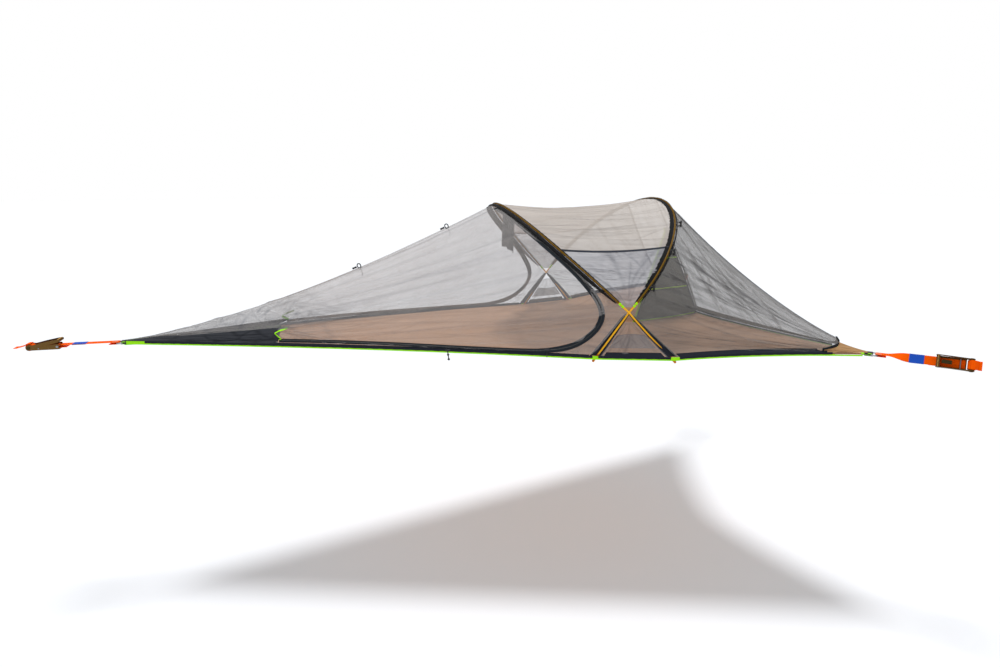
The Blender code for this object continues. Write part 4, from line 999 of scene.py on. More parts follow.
a, b = shares(110, 121)
over = 2 * b - 1
begin = 0.002 + 0.163 * np.clip((np.abs(over) - 0.80) / 0.20, 0, 1) ** 1.4
grid = wall_point(begin + (1 - begin) * a, over)
h1, f1 = creases(a, b, 160, 44, 0.010, 0.0060, 0.8, 0.05)
h2, f2 = creases(a, b, 165, 40, 0.005, 0.0030, 0.5, 0.06)
fold = np.maximum(np.clip(0.9 * f1 + 0.8 * f2, 0, 1), np.exp(-((over / 0.014) ** 2)))
panel("rear_wall_netting", grid, REAR_NET, "rear_wall", "stretched", (h1 + h2, fold), 0.06)
line = wall_point(np.linspace(0.012, 1, 90), np.zeros(90))
tape("rear_centre_seam", line, unit(np.array([0.5, 0, 0.8])), SEAM_TAPE_W, BINDING, 0.0016)
for side, name in SIDES:
    line = smooth_path(grid[0, :13] if side < 0 else grid[0, -13:], 40, 5)
    out = np.array([0.5, side * 0.2, 0.84])
    tape(f"{name}_wall_corner_tape", line, out, CORNER_TAPE_W, ZIP_TAPE, 0.003)
w = np.linspace(-1, 1, 150) * 0.86
band = np.stack([wall_point(np.full(150, r), w) for r in np.linspace(0.0, 0.034, 5)], 1)
band += unit(np.array([1.0, 0, 0.2])) * 0.002
panel("rear_skirt_cloth", band, SKIRT_CLOTH, thickness=TAPE_T)


# Hoops and sleeves
def whole_line(which, t):
    """A pole's centre line over both sides, from foot to foot."""
    near = hoop(which, t, -1)
    far = hoop(which, t, 1)[::-1][1:]
    return np.concatenate([near, far])


def frill(name, grid, off, ruffle, lift, stands_for):
    """Sleeve cloth lying on a panel, gathered along its free edge, with painted shade in its gathers."""
    band = outset(grid, off + ruffle)
    # The ruffle's height, as a fold share, is painted shade along the gathers
    panel(name, band, SLEEVE, stands_for, fold=ruffle / lift, thickness=SLEEVE_T)


STEPS = 260
FRILL_WIDTH = {"front": 0.007, "rear": 0.024}
FRILL_RAGGED = {"front": 0.0004, "rear": 0.0016}
FRILL_LIFT = 0.0022
HEM_WIDTH = {"front": 0.020, "rear": 0.007}
HEM_REACH = {"front": 2.2, "rear": 1.2}
HEM_RAGGED = 0.0006
HEM_LIFT = 0.0012
OVER_ZIP = 0.0050
CLIPS = (0.251, 0.262)
CLIP_HALF = 0.004
CLIP_GAP = 0.0004
CUP_TOP = 0.028
GROOVE = 0.9
for which, sign in (("front", 1), ("rear", -1)):
    front = which == "front"
    sleeve = f"{which}_sleeve"
    t = np.concatenate([np.linspace(0, 0.25, 50)[:-1], np.linspace(0.25, 1, 120)])
    rod(f"{which}_pole_tube", whole_line(which, t), POLE_R, 16, POLE, f"{which}_pole", ALONG)
    # Sleeve: a soft tube, pinched a little every few centimetres, over the arch
    line = whole_line(which, np.linspace(SLEEVE_START, 1, 170))
    rng = np.random.default_rng(200 + sign)
    pinch = np.convolve(rng.normal(0, 1, len(line) + 8), np.ones(9) / 9, "valid")[: len(line)]
    rod(f"{which}_sleeve_tube", line, SLEEVE_R + 0.0008 * pinch, 16, SLEEVE_VEIL, sleeve, ALONG)
    # The sleeve's seam allowance lies flat on both panels, gathered along its free edge
    step = np.arange(STEPS)
    r = np.linspace(0, 1, 6)
    for side, name in SIDES:
        t = np.linspace(SLEEVE_START, 1, STEPS)
        reach = np.linalg.norm(hoop("rear", t, side) - hoop("front", t, side), axis=1)
        taper = 0.3 + 0.7 * np.clip((t - SLEEVE_START) / 0.10, 0, 1) ** 0.7
        wide = FRILL_WIDTH[which] + 0.0008 * np.sin(step * 0.9)
        wide = (wide + FRILL_RAGGED[which] * rng.normal(0, 1, STEPS)) * taper
        share = (wide / np.maximum(reach, 0.04))[:, None] * r
        band = roof_point(t[:, None], share if front else 1 - share, side)
        ruffle = FRILL_LIFT * np.sin(step * 1.25 + 3 * np.sin(step * 0.13))[:, None] * r**2
        frill(f"{name}_{which}_sleeve_band", band, 0.0016, ruffle, FRILL_LIFT, sleeve)
        t = np.linspace(SLEEVE_START, 1 if front else REAR_TOP, STEPS)
        wide = (HEM_WIDTH[which] + HEM_RAGGED * rng.normal(0, 1, STEPS)) * taper
        u = 1 - wide[:, None] / HEM_REACH[which] * r
        ruffle = HEM_LIFT * np.sin(step * 1.1)[:, None] * r**2
        over_zip = front * OVER_ZIP * np.sin(np.pi * np.clip(r * 0.8, 0, 1))
        band = fan(which, u, t[:, None], side)
        frill(f"{name}_{which}_sleeve_hem", band, 0.0018 + over_zip, ruffle, HEM_LIFT, sleeve)
        # Clip at the sleeve's mouth: two lime loops of tape round the pole
        for k, share in enumerate(CLIPS):
            line = hoop(which, np.linspace(share - CLIP_HALF, share + CLIP_HALF, 7), side)
            swell = 0.0005 * np.sin(np.linspace(0, np.pi, 7))
            ring = round_rings(line, SLEEVE_R - CLIP_GAP + swell, 16, ALONG)
            bore = round_rings(line, POLE_R + CLIP_GAP, 16, ALONG)[::-1]
            rings = np.concatenate([ring, bore])
            loop = tube(f"{name}_{which}_clip_{k + 1}", rings, LIME_WEB, 1.0, True)
            settle(loop, f"{name}_{which}_sleeve_clip")
        # Pole foot: a turned cup with two grooves and a blunt nose
        down = unit(hoop(which, np.array([0.0]), side) - hoop(which, np.array([POLE_STEP]), side))[0]
        up_run = hoop(which, np.linspace(CUP_TOP, 0, 12), side)
        nose = up_run[-1] + down * np.linspace(0.001, 0.012, 8)[:, None]
        grooved = [TIP_R, TIP_R, TIP_R * GROOVE] * 2
        radius = [0.0058, *grooved, *[TIP_R] * 10, 0.0066, 0.0056, 0.0042]
        rings = round_rings(np.concatenate([up_run, nose]), radius, 20, ALONG)
        settle(tube(f"{name}_{which}_foot_cup", rings, POLE_END, 0.6), f"{name}_{which}_pole_tip")


# Navy tape behind each leg closes the gap between the panels on its two sides
LEG_TAPES = (("rear", "front", 0.9955, 0.02), ("front", "rear", 0.992, 0.98))
for side, name in SIDES:
    t = np.linspace(0.0, CROSS - 0.004, 70)
    share = np.linspace(0, 1, 9)
    for leg, which, u, q in LEG_TAPES:
        a = fan(which, np.full(70, u), t, side)
        b = side_point(t, np.full(70, q), side)
        grid = a[:, None] * (1 - share)[None, :, None] + b[:, None] * share[None, :, None]
        grid = grid + (0.002 + 0.010 * np.sin(np.pi * share))[None, :, None] * inward(side)
        panel(f"{name}_{leg}_leg_binding", grid, SKIRT_CLOTH, thickness=TAPE_T)
    grid = side_point(np.linspace(0, 0.020, 6)[:, None], np.linspace(0.05, 0.95, 60)[None], side)
    panel(f"{name}_side_skirt", grid - inward(side) * 0.0015, SKIRT_CLOTH, thickness=TAPE_T)


# Inside: the upright divider, bound in lime, and the tie flap under the front hoop
DIVIDER_FRONT = 3.230
DIVIDER_LEAN = 0.205
DIVIDER_HEIGHT = 0.60
DIVIDER_SEAMS = (0.34, 0.66)
DIVIDER_T = 0.0012
TIE_SHARES = np.array([0.800, 0.925])
TIE_LENGTH = 0.225
x = np.linspace(0, LENGTH, 400)
ramp = np.clip((x - REAR_FOOT_X) / (LENGTH - REAR_FOOT_X), 0, 1)
mid_x = x - bow(0) * ramp**2
floor_z = -FLOOR_SAG * np.sin(np.pi * x / LENGTH)
seam = wall_point(np.linspace(0.012, 1, 200), np.zeros(200))
rise = np.linspace(0, 1, 70)[:, None]
high = DIVIDER_HEIGHT * rise
rear_x = np.interp(high, seam[:, 2], seam[:, 0]) - 0.012
front_x = np.minimum(TIP_X + DIVIDER_FRONT + DIVIDER_LEAN * rise, rear_x - 0.015)
across_x = front_x + (rear_x - front_x) * np.linspace(0, 1, 50)[None]
foot_z = np.interp(across_x - TIP_X, mid_x, floor_z) + 0.0016
grid = np.stack([across_x, 0 * across_x, foot_z * (1 - rise) + high], -1)
a, b = shares(70, 50)
height, fold = creases(a, b, 300, 14, 0.05, 0.006, 0.6, 0.3)
pleat = 0.004 * np.sin(a * 3 * np.pi) ** 2
grid[..., 1] += (height + pleat) * edges(a, b, 0.08)
for line in DIVIDER_SEAMS:
    fold = np.maximum(fold, np.exp(-(((a - line) / 0.012) ** 2)))
panel("divider_cloth", grid, DIVIDER_CLOTH, "storage_divider", "hung", fold=fold, thickness=DIVIDER_T,
      inside=None)
for k, line in enumerate((grid[:, 0], grid[:, -1], grid[24], grid[47], grid[1])):
    tape(f"divider_binding_{k + 1}", line, -np.array([0, 1.0, 0]), 0.012 if k < 2 else 0.008,
         BINDING if k == 1 else LIME_BINDING, 0.0018, 0.0004, thickness=FOLD_T, slot="pocket_green",
         inside=None)

top = hoop("front", TIE_SHARES, -1) - UP * (SLEEVE_R + CLEAR * 2)
d, w = shares(70, 60)
grid = top[0] + (top[1] - top[0]) * w[..., None]
middle = grid.mean(axis=1, keepdims=True)
grid = middle + (grid - middle) * (1 - 0.25 * d**1.5)[..., None]
grid[..., 0] += 0.010 * np.sin(w * 4 * np.pi) * d + 0.006 * np.sin(d * 5) * w
grid[..., 2] -= d * TIE_LENGTH + 0.012 * (w - 0.5) ** 2 * 4 * d
# Painted shade in the flap's pleats, in step with their waves
fold = np.clip(0.5 + 0.5 * np.sin(w * 4 * np.pi), 0, 1) * 0.6
panel("tie_flap_cloth", grid, FLAP_CLOTH, "tie_flap", "hung", fold=fold, thickness=FLAP_T, inside=None)


# Anchors: forms for webbing and metal
def lean(outward, angle):
    """The across and up directions of a strap that is turned about its outward line."""
    across = np.cross(UP, outward)
    c = np.cos(angle)[..., None]
    s = np.sin(angle)[..., None]
    return across * c + UP * s, UP * c - across * s


def half_turn(centre_x, radius, toward, count=15):
    """A half circle in (outward, height) about a bar."""
    a = np.linspace(np.pi / 2, -np.pi / 2, count)
    return np.stack([centre_x - toward * radius * np.cos(a), radius * np.sin(a)], -1)


def rounded_web(name, points, across, up, width, thick, mat):
    """Webbing along a path: a flat section with round edges, nine points to each face."""
    w = np.cos(np.linspace(0, np.pi, 9))
    flat = np.concatenate([np.stack([w, np.ones(9)], -1), np.stack([-w[1:-1], -np.ones(7)], -1)])
    flat[[0, 8]] *= [1, 0.2]
    rings = points[:, None] + (flat[:, 0] * width / 2)[None, :, None] * across[:, None]
    rings = rings + (flat[:, 1] * thick / 2)[None, :, None] * up[:, None]
    return tube(name, rings, mat, 0.6)


def lay_web(name, path, frame_of, angles, count, mat, stands_for=None, size=(STRAP_W, STRAP_T)):
    """Webbing set out along (outward, height) from a corner and turned about the outward line.

    Returns its points with their across and up directions.
    """
    corner, outward = frame_of
    run = np.concatenate([[0], np.cumsum(np.linalg.norm(np.diff(path, axis=0), axis=1))])
    s = np.linspace(0, run[-1], count)
    angles = np.interp(s, run, np.broadcast_to(angles, len(path)))
    path = np.stack([np.interp(s, run, path[:, k]) for k in (0, 1)], -1)
    across, up = lean(outward, angles)
    points = corner + path[:, :1] * outward + path[:, 1:] * up
    up = np.cross(unit(np.gradient(points, axis=0)), across)
    settle(rounded_web(name, points, across, up, *size, mat), stands_for)
    return points, across, up


def place(points, move):
    """Points of a part carried to its place."""
    return points @ np.array(move.to_3x3()).T + np.array(move.translation)


def plate(name, outline, low, high, mat, move, chamfer=0.0006):
    """An outline pushed through a thickness, with a small chamfer on its rims."""
    outline = np.array(outline, float)
    centre = outline.mean(axis=0)
    inner = centre + (outline - centre) * (1 - chamfer / np.linalg.norm(outline - centre, axis=1).max())
    levels = ((low, inner), (low + chamfer, outline), (high - chamfer, outline), (high, inner))
    rings = np.stack([np.concatenate([o, np.full((len(o), 1), z)], 1) for z, o in levels])
    return tube(name, place(rings, move), mat, 0.4)


def disc(name, radius, low, high, mat, move, teeth=0, depth=0.0):
    """A round plate, with ratchet teeth: the radius falls off over each tooth and jumps back."""
    count = max(48, teeth * 6)
    a = np.linspace(0, 2 * np.pi, count, endpoint=False)
    r = radius - depth * ((a * teeth / (2 * np.pi)) % 1) if teeth else radius + 0 * a
    return plate(name, np.stack([r * np.cos(a), r * np.sin(a)], -1), low, high, mat, move, 0.0003)


def turned(name, steps, mat, move, sides=28):
    """A turned bar from (distance, radius) steps along its axis."""
    a = np.linspace(0, 2 * np.pi, sides, endpoint=False)
    rings = np.stack([np.stack([r * np.cos(a), r * np.sin(a), np.full(sides, d)], -1) for d, r in steps])
    return tube(name, place(rings, move), mat, 0.5)


def arc(cx, cy, r, start, stop, count=9):
    """Points of an arc, from a start to a stop in degrees."""
    a = np.radians(np.linspace(start, stop, count))
    return [(cx + r * np.cos(k), cy + r * np.sin(k)) for k in a]


# Half sizes of the ring, measured along and across the strap, and its corners' radius
RING_HALF = (0.014, 0.033)
RING_CORNER = 0.008
# The turn that lays a bar across the strap, and the one that stands a plate along it
ACROSS = Matrix.Rotation(np.pi / 2, 4, "X")
SIDE_ON = Matrix(((1, 0, 0, 0), (0, 0, -1, 0), (0, 1, 0, 0), (0, 0, 0, 1)))
# The cheek plates' depth below the strap's line, and outlines in metres from bolt and drum
CHEEK_DEPTH = 0.0155
CHEEK = (
    arc(-0.001, 0.0065, 0.009, 180, 90)
    + [(0.035, 0.0115), (0.070, 0.0095), (0.105, 0.0120)]
    + arc(0.139, 0.0010, 0.0168, 110, 0)
    + [(0.1555, -0.010), (0.151, -CHEEK_DEPTH), (0.0, -CHEEK_DEPTH)]
    + arc(-0.004, -0.0095, 0.006, 270, 180)
)[::-1]
ARM = (
    arc(0, 0, 0.0150, -75, 75, 15)
    + [(-0.022, 0.0105), (-0.080, 0.0112), (-0.140, 0.0092)]
    + arc(-0.157, 0.0, 0.0078, 90, 270, 11)
    + [(-0.140, -0.0088), (-0.080, -0.0100), (-0.022, -0.0100)]
)
HALF_DRUM = arc(0, 0.0012, 0.0068, 0, 180, 15) + [(-0.0050, 0.0010), (0.0050, 0.0010)]
TONGUE = [(-0.090, -0.0012), (-0.138, -0.0012), (-0.138, 0.0012), (-0.090, 0.0012)]
HALF_BOLT = ((0.0302, 0.0050), (0.0302, 0.0068), (0.0320, 0.0062))
BOLT = [(-x, r) for x, r in HALF_BOLT[::-1]] + [*HALF_BOLT]
RIVET = ((-0.0308, 0.0030), (-0.0300, 0.0035), (0.0300, 0.0035), (0.0308, 0.0030))
HANDLE_ANGLE = 0.22
# Cheeks, wheels, drum, arms and bosses: where they begin across the strap, and their sizes
CHEEK_Z = (-0.030, 0.0275)
CHEEK_T = 0.0025
WHEEL_Z = (-0.0268, 0.0244)
WHEEL_T = 0.0024
WHEEL_R = 0.0150
WHEEL_TEETH = 13
TOOTH = 0.0030
DRUM_HALF = 0.0298
ARM_Z = (-0.0336, 0.0306)
ARM_T = 0.0030
BOSS_Z = (-0.0358, 0.0336)
BOSS_T = 0.0022
BOSS_R = 0.0088
# Pressed ribs of the channel's floor, the wound strap's radius and its growth, stitches, tag
RIB_X = (0.045, 0.085)
RIB_HEIGHT = 0.0016
WOUND_TURNS = 4.2
WOUND_R = (0.0078, 0.0117)
STITCH_R = 0.0006
STITCH_ROWS = (-0.78, -0.26, 0.26, 0.78)
TAG_T = 0.0006


def ring_and_loop(name, corner, outward, turn, under):
    """Ring of rounded bar, the lime loop that holds it and a black cover over their joint."""
    flat, _ = lean(outward, np.array(0.0))
    points = []
    half_x, half_y = (size - RING_CORNER for size in RING_HALF)
    for k, (x, y) in enumerate(((1, 1), (-1, 1), (-1, -1), (1, -1))):
        points += arc(x * half_x, y * half_y, RING_CORNER, 90 * k, 90 * k + 90, 10)
    ring = np.array(points)
    line = corner + ring[:, :1] * outward + ring[:, 1:] * flat
    t = unit(np.roll(line, -1, axis=0) - np.roll(line, 1, axis=0))
    out = np.cross(t, UP)
    a = np.linspace(0, 2 * np.pi, 16, endpoint=False)
    circle = np.cos(a)[None, :, None] * out[:, None] + np.sin(a)[None, :, None] * UP
    rings = line[:, None] + RING_BAR_R * circle
    settle(tube(f"{name}_ring_bar", rings, STEEL, 1.0, True), f"{name}_ring")
    bar = RING_HALF[0]
    ends = [[-0.036 + STRAP_T * 2, under], [-0.110, under]]
    path = np.concatenate([[[-bar - EYE_TAIL / 3, turn]], half_turn(-bar, turn, -1), ends])
    lay_web(f"{name}_loop_web", path, (corner, outward), 0.0, 70, LIME_WEB, f"{name}_corner_loop")
    path = np.array([[-0.046, 0.0], [-0.040, 0.0], [-0.009, 0.0], [-0.004, 0.0]])
    lay_web(f"{name}_ring_cover", path, (corner, outward), 0.0, 14, BLACK, size=(0.040, 0.0185))


def strap(name, corner, outward, bolt_x, turn, roll):
    """Strap from the ring to the bolt, its stitching where it is sewn back, and its blue tag."""
    bar = RING_HALF[0]
    half = STRAP_T / 2
    bolt_turn = BOLT_D / 2 + CLEAR + half
    run = np.linspace(bar + EYE_TAIL, bolt_x - EYE_TAIL, 60)
    path = np.concatenate([
        [[bar + EYE_TAIL, -turn]],
        half_turn(bar, turn, 1)[::-1],
        np.stack([run, np.linspace(turn, bolt_turn, 60)], -1),
        half_turn(bolt_x, bolt_turn, -1),
        [[bolt_x - EYE_TAIL, -bolt_turn]],
    ])
    twist = np.clip((path[:, 0] - run[0]) / 0.120, 0, 1)
    angles = roll * twist**2 * (3 - 2 * twist)
    points, across, up = lay_web(
        f"{name}_strap_web", path, (corner, outward), angles, 220, ORANGE_WEB, f"{name}_strap"
    )
    sewn = slice(31, 46)
    top = points[sewn] + up[sewn] * (half + STITCH_R)
    for k, share in enumerate(STITCH_ROWS):
        line = top + across[sewn] * share * STRAP_W / 2
        rod(f"{name}_stitch_{k + 1}", line, STITCH_R, 6, STITCH, None, up[40])
    spot = slice(113, 150)
    w = np.linspace(-1, 1, 9) * STRAP_W * 0.51
    for k, way in enumerate((1, -1)):
        grid = points[spot][:, None] + across[spot][:, None] * w[None, :, None]
        grid = grid + up[spot][:, None] * way * (half + 0.0008)
        panel(f"{name}_tag_{k + 1}", grid, TAG, thickness=TAG_T, inside=points[spot].mean(axis=0))


def ratchet(name, base, across, up):
    """Frame with its bolt and slack strap, split drum with the strap wound on it, and handle."""
    frame_node = f"{name}_ratchet_frame"
    for k, z in enumerate(CHEEK_Z):
        cheek = plate(f"{name}_cheek_{k + 1}", CHEEK, z, z + CHEEK_T, BRONZE, base @ SIDE_ON)
        settle(cheek, frame_node)
    # The channel's floor, with two pressed ribs
    x = np.linspace(-0.010, 0.1225, 40)
    rib = RIB_HEIGHT * sum(np.exp(-(((x - middle) / 0.006) ** 2)) for middle in RIB_X)
    y = np.linspace(-1, 1, 13) * 0.0275
    x, y = np.meshgrid(x, y, indexing="ij")
    z = np.broadcast_to((-CHEEK_DEPTH + CHEEK_T / 2 + rib)[:, None], x.shape)
    grid = place(np.stack([x, y, z], -1), base)
    panel(f"{name}_channel_floor", grid, BRONZE, frame_node, thickness=CHEEK_T, inside=None)
    # Slack webbing lies in the channel between the bolt and the drum
    x = np.linspace(0.011, 0.116, 60)
    slack = place(np.stack([x, 0 * x, -CHEEK_DEPTH + 0.0068 + 0.0014 * np.sin(x * 70)], -1), base)
    wide, lift = np.broadcast_to(across, slack.shape), np.broadcast_to(up, slack.shape)
    settle(rounded_web(f"{name}_slack_web", slack, wide, lift, 0.046, 0.0022, ORANGE_WEB))
    settle(turned(f"{name}_fixed_bolt", BOLT, STEEL, base @ ACROSS), frame_node)
    rivet = base @ Matrix.Translation((0.095, 0, -0.006)) @ ACROSS
    settle(turned(f"{name}_cross_rivet", RIVET, STEEL, rivet), frame_node)

    # Drum: two split halves, toothed wheels at its ends, and the strap wound on it
    node = body = f"{name}_spindle"
    axis = base @ Matrix.Translation((SPINDLE_X, 0, 0))
    spin = axis @ ACROSS
    for k in range(2):
        half = spin @ Matrix.Rotation(np.pi * k, 4, "Z")
        part = f"{name}_spindle_half_{k + 1}"
        settle(plate(part, HALF_DRUM, -DRUM_HALF, DRUM_HALF, BRONZE_DARK, half, 0.0003), node, body)
    for k, z in enumerate(WHEEL_Z):
        part = f"{name}_ratchet_wheel_{k + 1}"
        wheel = disc(part, WHEEL_R, z, z + WHEEL_T, BRONZE_DARK, spin, WHEEL_TEETH, TOOTH)
        settle(wheel, node, body)
    a = np.linspace(0, 2 * np.pi * WOUND_TURNS, 260)
    r = WOUND_R[0] + WOUND_R[1] * a / a[-1]
    wound = place(np.stack([r * np.cos(a), np.zeros_like(a), r * np.sin(a)], -1), axis)
    wide = np.broadcast_to(across, wound.shape)
    lift = np.cross(unit(np.gradient(wound, axis=0)), wide)
    settle(rounded_web(f"{name}_wound_strap", wound, wide, lift, 0.0470, 0.0020, ORANGE_WEB), node, body)

    # Handle: two bent arms with bosses, a ridged grip and a sprung tongue
    node = f"{name}_ratchet_handle"
    body = f"{name}_handle"
    hand = axis @ Matrix.Rotation(HANDLE_ANGLE, 4, "Y")
    arm = hand @ SIDE_ON
    for k, (z, boss_z) in enumerate(zip(ARM_Z, BOSS_Z)):
        settle(plate(f"{name}_handle_arm_{k + 1}", ARM, z, z + ARM_T, BRONZE, arm), node, body)
        boss = f"{name}_handle_boss_{k + 1}"
        settle(disc(boss, BOSS_R, boss_z, boss_z + BOSS_T, BRONZE_DARK, hand @ ACROSS), node, body)
    d = np.linspace(-0.0304, 0.0304, 60)
    r = 0.0086 + 0.0009 * np.sin(d * 900)
    r[[0, -1]] = 0.0078
    grip = hand @ Matrix.Translation((-0.154, 0, 0)) @ ACROSS
    settle(turned(f"{name}_grip", np.stack([d, r], -1), BRONZE, grip), node, body)
    tongue = plate(f"{name}_release_tongue", TONGUE, -0.010, 0.010, BRONZE_DARK, arm, 0.0004)
    settle(tongue, node, body)


def anchor(name, corner, outward, under, roll):
    """Everything outside one corner, from its ring to the strap's free end."""
    turn = RING_BAR_R + CLEAR + STRAP_T / 2
    ring_and_loop(name, corner, outward, turn, under)
    bolt_x = RING_LENGTH / 2 + STRAP[name]
    strap(name, corner, outward, bolt_x, turn, roll)
    across, up = lean(outward, np.array(roll))
    turned_by = Matrix((outward, across, up)).transposed().to_4x4()
    base = Matrix.Translation(Vector(corner + outward * bolt_x)) @ turned_by
    ratchet(name, base, across, up)
    axis_x = bolt_x + SPINDLE_X
    end_x = axis_x + TAIL[name]
    top = 0.0225
    path = [[axis_x - 0.007, top], [axis_x + 0.012, top - 0.001], [axis_x + 0.026, 0.010]]
    path = np.array(path + [[end_x - EYE_TAIL / 3, 0], [end_x, 0]])
    lay_web(f"{name}_tail_web", path, (corner, outward), roll, 60, ORANGE_WEB, f"{name}_strap_end")


below_web = -(WEB_H / 2 + CLEAR + STRAP_T / 2)
below_floor = -(0.001 + CLEAR * 3 + STRAP_T / 2)
anchor("tip", TIP, -ALONG, below_web, 0.0)
middle = np.array([TIP_X + LENGTH * 2 / 3, 0, 0])
for side, name in SIDES:
    corner = CORNER * np.array([1, side, 1])
    anchor(f"{name}_rear", corner, unit(corner - middle), below_floor, -side * ROLL)


# Small fittings
ELASTIC_R = 0.0032
BARREL_R = 0.0060
BARREL_WAIST = 0.0016
BARREL_END_R = 0.0040
TOGGLE_LOOP = 0.015
TIE_R = 0.0016
RIDGE_TOGGLES = (1.394, 1.938)
SLEEVE_TOGGLES = (0.66, 0.50, 0.33)


def toggle(name, spot, normal, lean_way, tail, shift=0.0):
    """A flysheet toggle: an elastic loop sewn to a seam, with a small barrel at its end."""
    normal = normal / np.linalg.norm(normal)
    lean_way = lean_way / np.linalg.norm(lean_way)
    a = np.linspace(-0.35 * np.pi, 1.35 * np.pi, 40)
    ring = spot + (TOGGLE_LOOP * (1 + np.sin(a)))[:, None] * normal * 0.9
    ring = ring + (TOGGLE_LOOP * 0.7 * np.cos(a))[:, None] * lean_way
    rod(f"{name}_loop", ring, ELASTIC_R, 8, BLACK, "ridge_toggle_ring")
    bar = spot + normal * (TOGGLE_LOOP * 1.7 - shift * 0.45)
    bar = bar + lean_way * (shift + np.linspace(-tail, tail, 24))[:, None]
    r = BARREL_R - BARREL_WAIST * np.exp(-((np.linspace(-1, 1, 24) / 0.25) ** 2))
    r[[0, -1]] = BARREL_END_R
    rod(f"{name}_barrel", bar, r, 12, BLACK, "ridge_toggle_ring", normal)
    w = np.linspace(-0.011, 0.011, 5)
    side = np.cross(normal, lean_way)
    grid = spot + normal * 0.0015 + w[:, None, None] * lean_way + w[None, :, None] * side
    panel(f"{name}_patch", grid, BINDING, thickness=TAPE_T, slot="black_zip")


ridge = fan("front", np.linspace(0, 1, 300), np.ones(300), 1)
for k, x in enumerate(RIDGE_TOGGLES):
    i = np.argmin(np.abs(ridge[:, 0] - TIP_X - x))
    run = unit(ridge[i + 1] - ridge[i])
    normal = np.array([-run[2], 0, run[0]])
    toggle(f"ridge_toggle_{k + 1}", ridge[i] + normal * 0.001, normal, -run, 0.014, 0.030)
    drop = np.linspace(0, 1, 20)[:, None]
    cord = ridge[i] + np.array([0.012, -0.02, -0.048]) * drop + 0.006 * np.sin(drop * np.pi) * ALONG
    rod(f"ridge_tie_{k + 1}", cord, TIE_R, 8, FLAP_CLOTH)
for side, name in SIDES:
    for k, t in enumerate(SLEEVE_TOGGLES):
        spot = hoop("rear", np.array([t]), side)[0]
        out = unit(np.array([1, side * 0.3, 0.1]))
        toggle(f"{name}_sleeve_toggle_{k + 1}", spot + out * 0.009, out, UP, 0.018)

# Under the floor's near edge, a toggle on a short beaded cord
drop = np.linspace(0, 1, 60)[:, None]
hang = TIP + np.array([1.845, -0.556, -0.008]) + np.array([0.008, 0, -0.066]) * drop
beads = 0.0032 + 0.0045 * np.clip(np.sin(np.linspace(0, 5 * np.pi, 60)), 0, 1) ** 2
rod("edge_toggle_cord", hang, beads, 12, BLACK)
bar = hang[6] + np.array([0.014, -0.004, 0.002]) * np.linspace(-1, 1, 16)[:, None]
rod("edge_toggle_bar", bar, 0.0058, 12, BLACK)

# Lime tape where the tip's cloth ends, from edge to edge, and the grey patch at the zip's end
TIP_TAPE = [(0.327, 0.190), (0.333, 0.352), (0.350, 0.392), (0.372, 0.421)]
for side, name in SIDES:
    curve = smooth_path(TIP_TAPE, 50, 5)
    line = fan("front", curve[:, 0], curve[:, 1], side)
    out = unit(line - INSIDE)
    tape(f"{name}_tip_tape", line, out, 0.016, LIME_WEB, 0.0040, 0.0012, thickness=0.0012)
    a, b = np.meshgrid(np.linspace(0.340, 0.362, 12), np.linspace(0.150, 0.200, 6), indexing="ij")
    grid = outset(fan("front", a, b, side), 0.004)
    panel(f"{name}_zip_end_patch", grid, FLAP_CLOTH, thickness=TAPE_T)

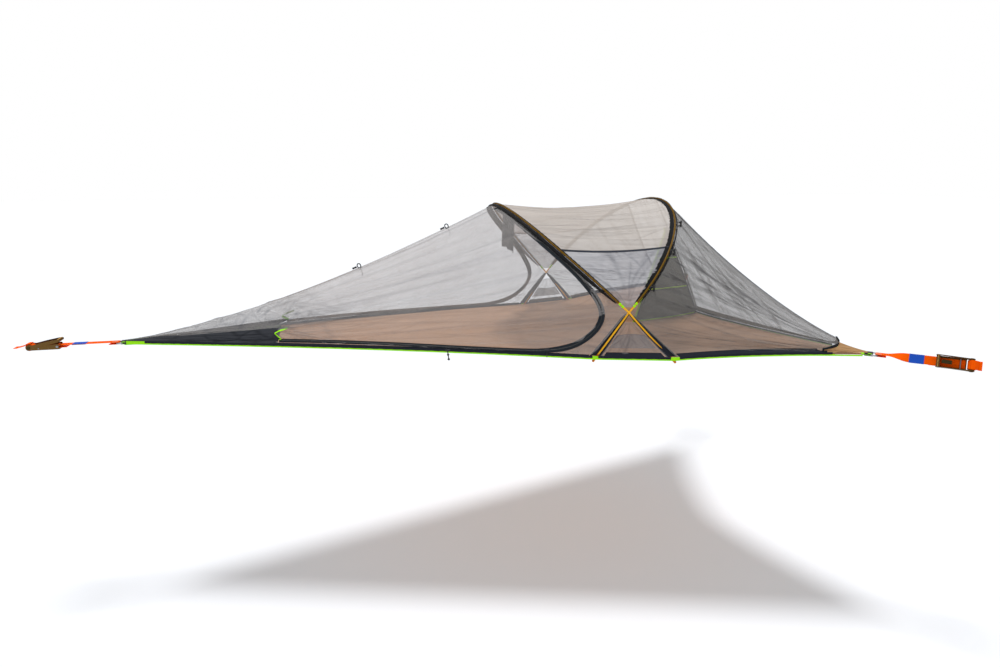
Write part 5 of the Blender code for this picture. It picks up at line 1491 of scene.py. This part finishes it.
# Zip sliders with their pull tabs, in the frame's places
SLIDER = arc(0.006, 0, 0.0075, 70, -70) + arc(-0.009, 0, 0.0052, -110, -250)
SLIDER_PATH = (np.array([0.895, 0.905]), np.array([0.016, 0.016]))
SLIDER_Z = (-0.0030, 0.0012)
SLIDER_T = 0.0018
PULL_LENGTH = 0.042
for side, name in SIDES:
    node = f"{name}_zip_slider"
    low, high = (np.array(c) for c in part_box(node))
    centre = (low + high) / 2
    p = fan("front", *SLIDER_PATH, side)
    run = unit(p[1] - p[0])
    rise = unit(UP - run * run[2])
    out = np.cross(run, rise) * -side
    move = Matrix((run, rise, out)).transposed().to_4x4()
    move.translation = Vector(centre)
    for k, z in enumerate(SLIDER_Z):
        part = f"{name}_slider_plate_{k + 1}"
        settle(plate(part, SLIDER, z, z + SLIDER_T, GUNMETAL, move, 0.0004), node, node)
    post = arc(0.002, 0, 0.0030, 0, 340, 14)
    settle(plate(f"{name}_slider_post", post, -0.0012, 0.0012, GUNMETAL, move, 0.0002), node, node)
    a = np.linspace(-0.5 * np.pi, 0.5 * np.pi, 20)
    bridge = place(np.stack([0.002 + 0.007 * np.sin(a), 0 * a, 0.0030 + 0.0036 * np.cos(a)], -1), move)
    rod(f"{name}_slider_bridge", bridge, 0.0011, 8, GUNMETAL, node, body=node)
    s = np.linspace(0, 1, 30)
    hang = centre + out * 0.0062 + run * 0.001 + (out * 0.004 - UP * PULL_LENGTH) * s[:, None]
    thick = 0.0013 + 0.0014 * (s > 0.45)
    rod(f"{name}_slider_pull", hang, thick, 8, BLACK, node, body=node)


# Light: one soft sun from above, a little to the front
light = bpy.data.lights.new("high_soft_light", "SUN")
light.energy = 2.2
light.angle = np.radians(13)
sun = bpy.data.objects.new("high_soft_light", light)
sun.rotation_euler = (np.radians(-8), np.radians(-5), 0)
bpy.context.scene.collection.objects.link(sun)

# Ground: a pale studio floor, painted matt, that takes the shadow and glows a little
GROUND_Z = -1.5
x, y = np.meshgrid(np.linspace(-60, 60, 3), np.linspace(-60, 60, 3), indexing="ij")
white = (1.0, 1.0, 1.0, 1.0)
floor = new_material("pale_floor", None, Base_Color=colour("#E2E5EA"), Roughness=0.9,
                     Emission_Color=white, Emission_Strength=0.10)
ground = surface("studio_floor", np.stack([x, y, GROUND_Z + 0 * x], -1), floor)
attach(ground, "tent")

# Backdrop: full white to the camera and through the netting, dimmer as a light
world = bpy.data.worlds.new("studio")
bpy.context.scene.world = world
world.use_nodes = True
back = world.node_tree.nodes["Background"]
straight = add(world, "LightPath", out="Is Camera Ray")
through = add(world, "LightPath", out="Is Transmission Ray")
seen = add(world, "Math", {"operation": "MAXIMUM"}, _0=straight, _1=through)
level = add(world, "MapRange", {"To Min": 0.52, "To Max": 1.0}, Value=seen)
world.node_tree.links.new(level, back.inputs["Strength"])
back.inputs["Color"].default_value = white

bpy.context.scene.view_settings.view_transform = "Standard"
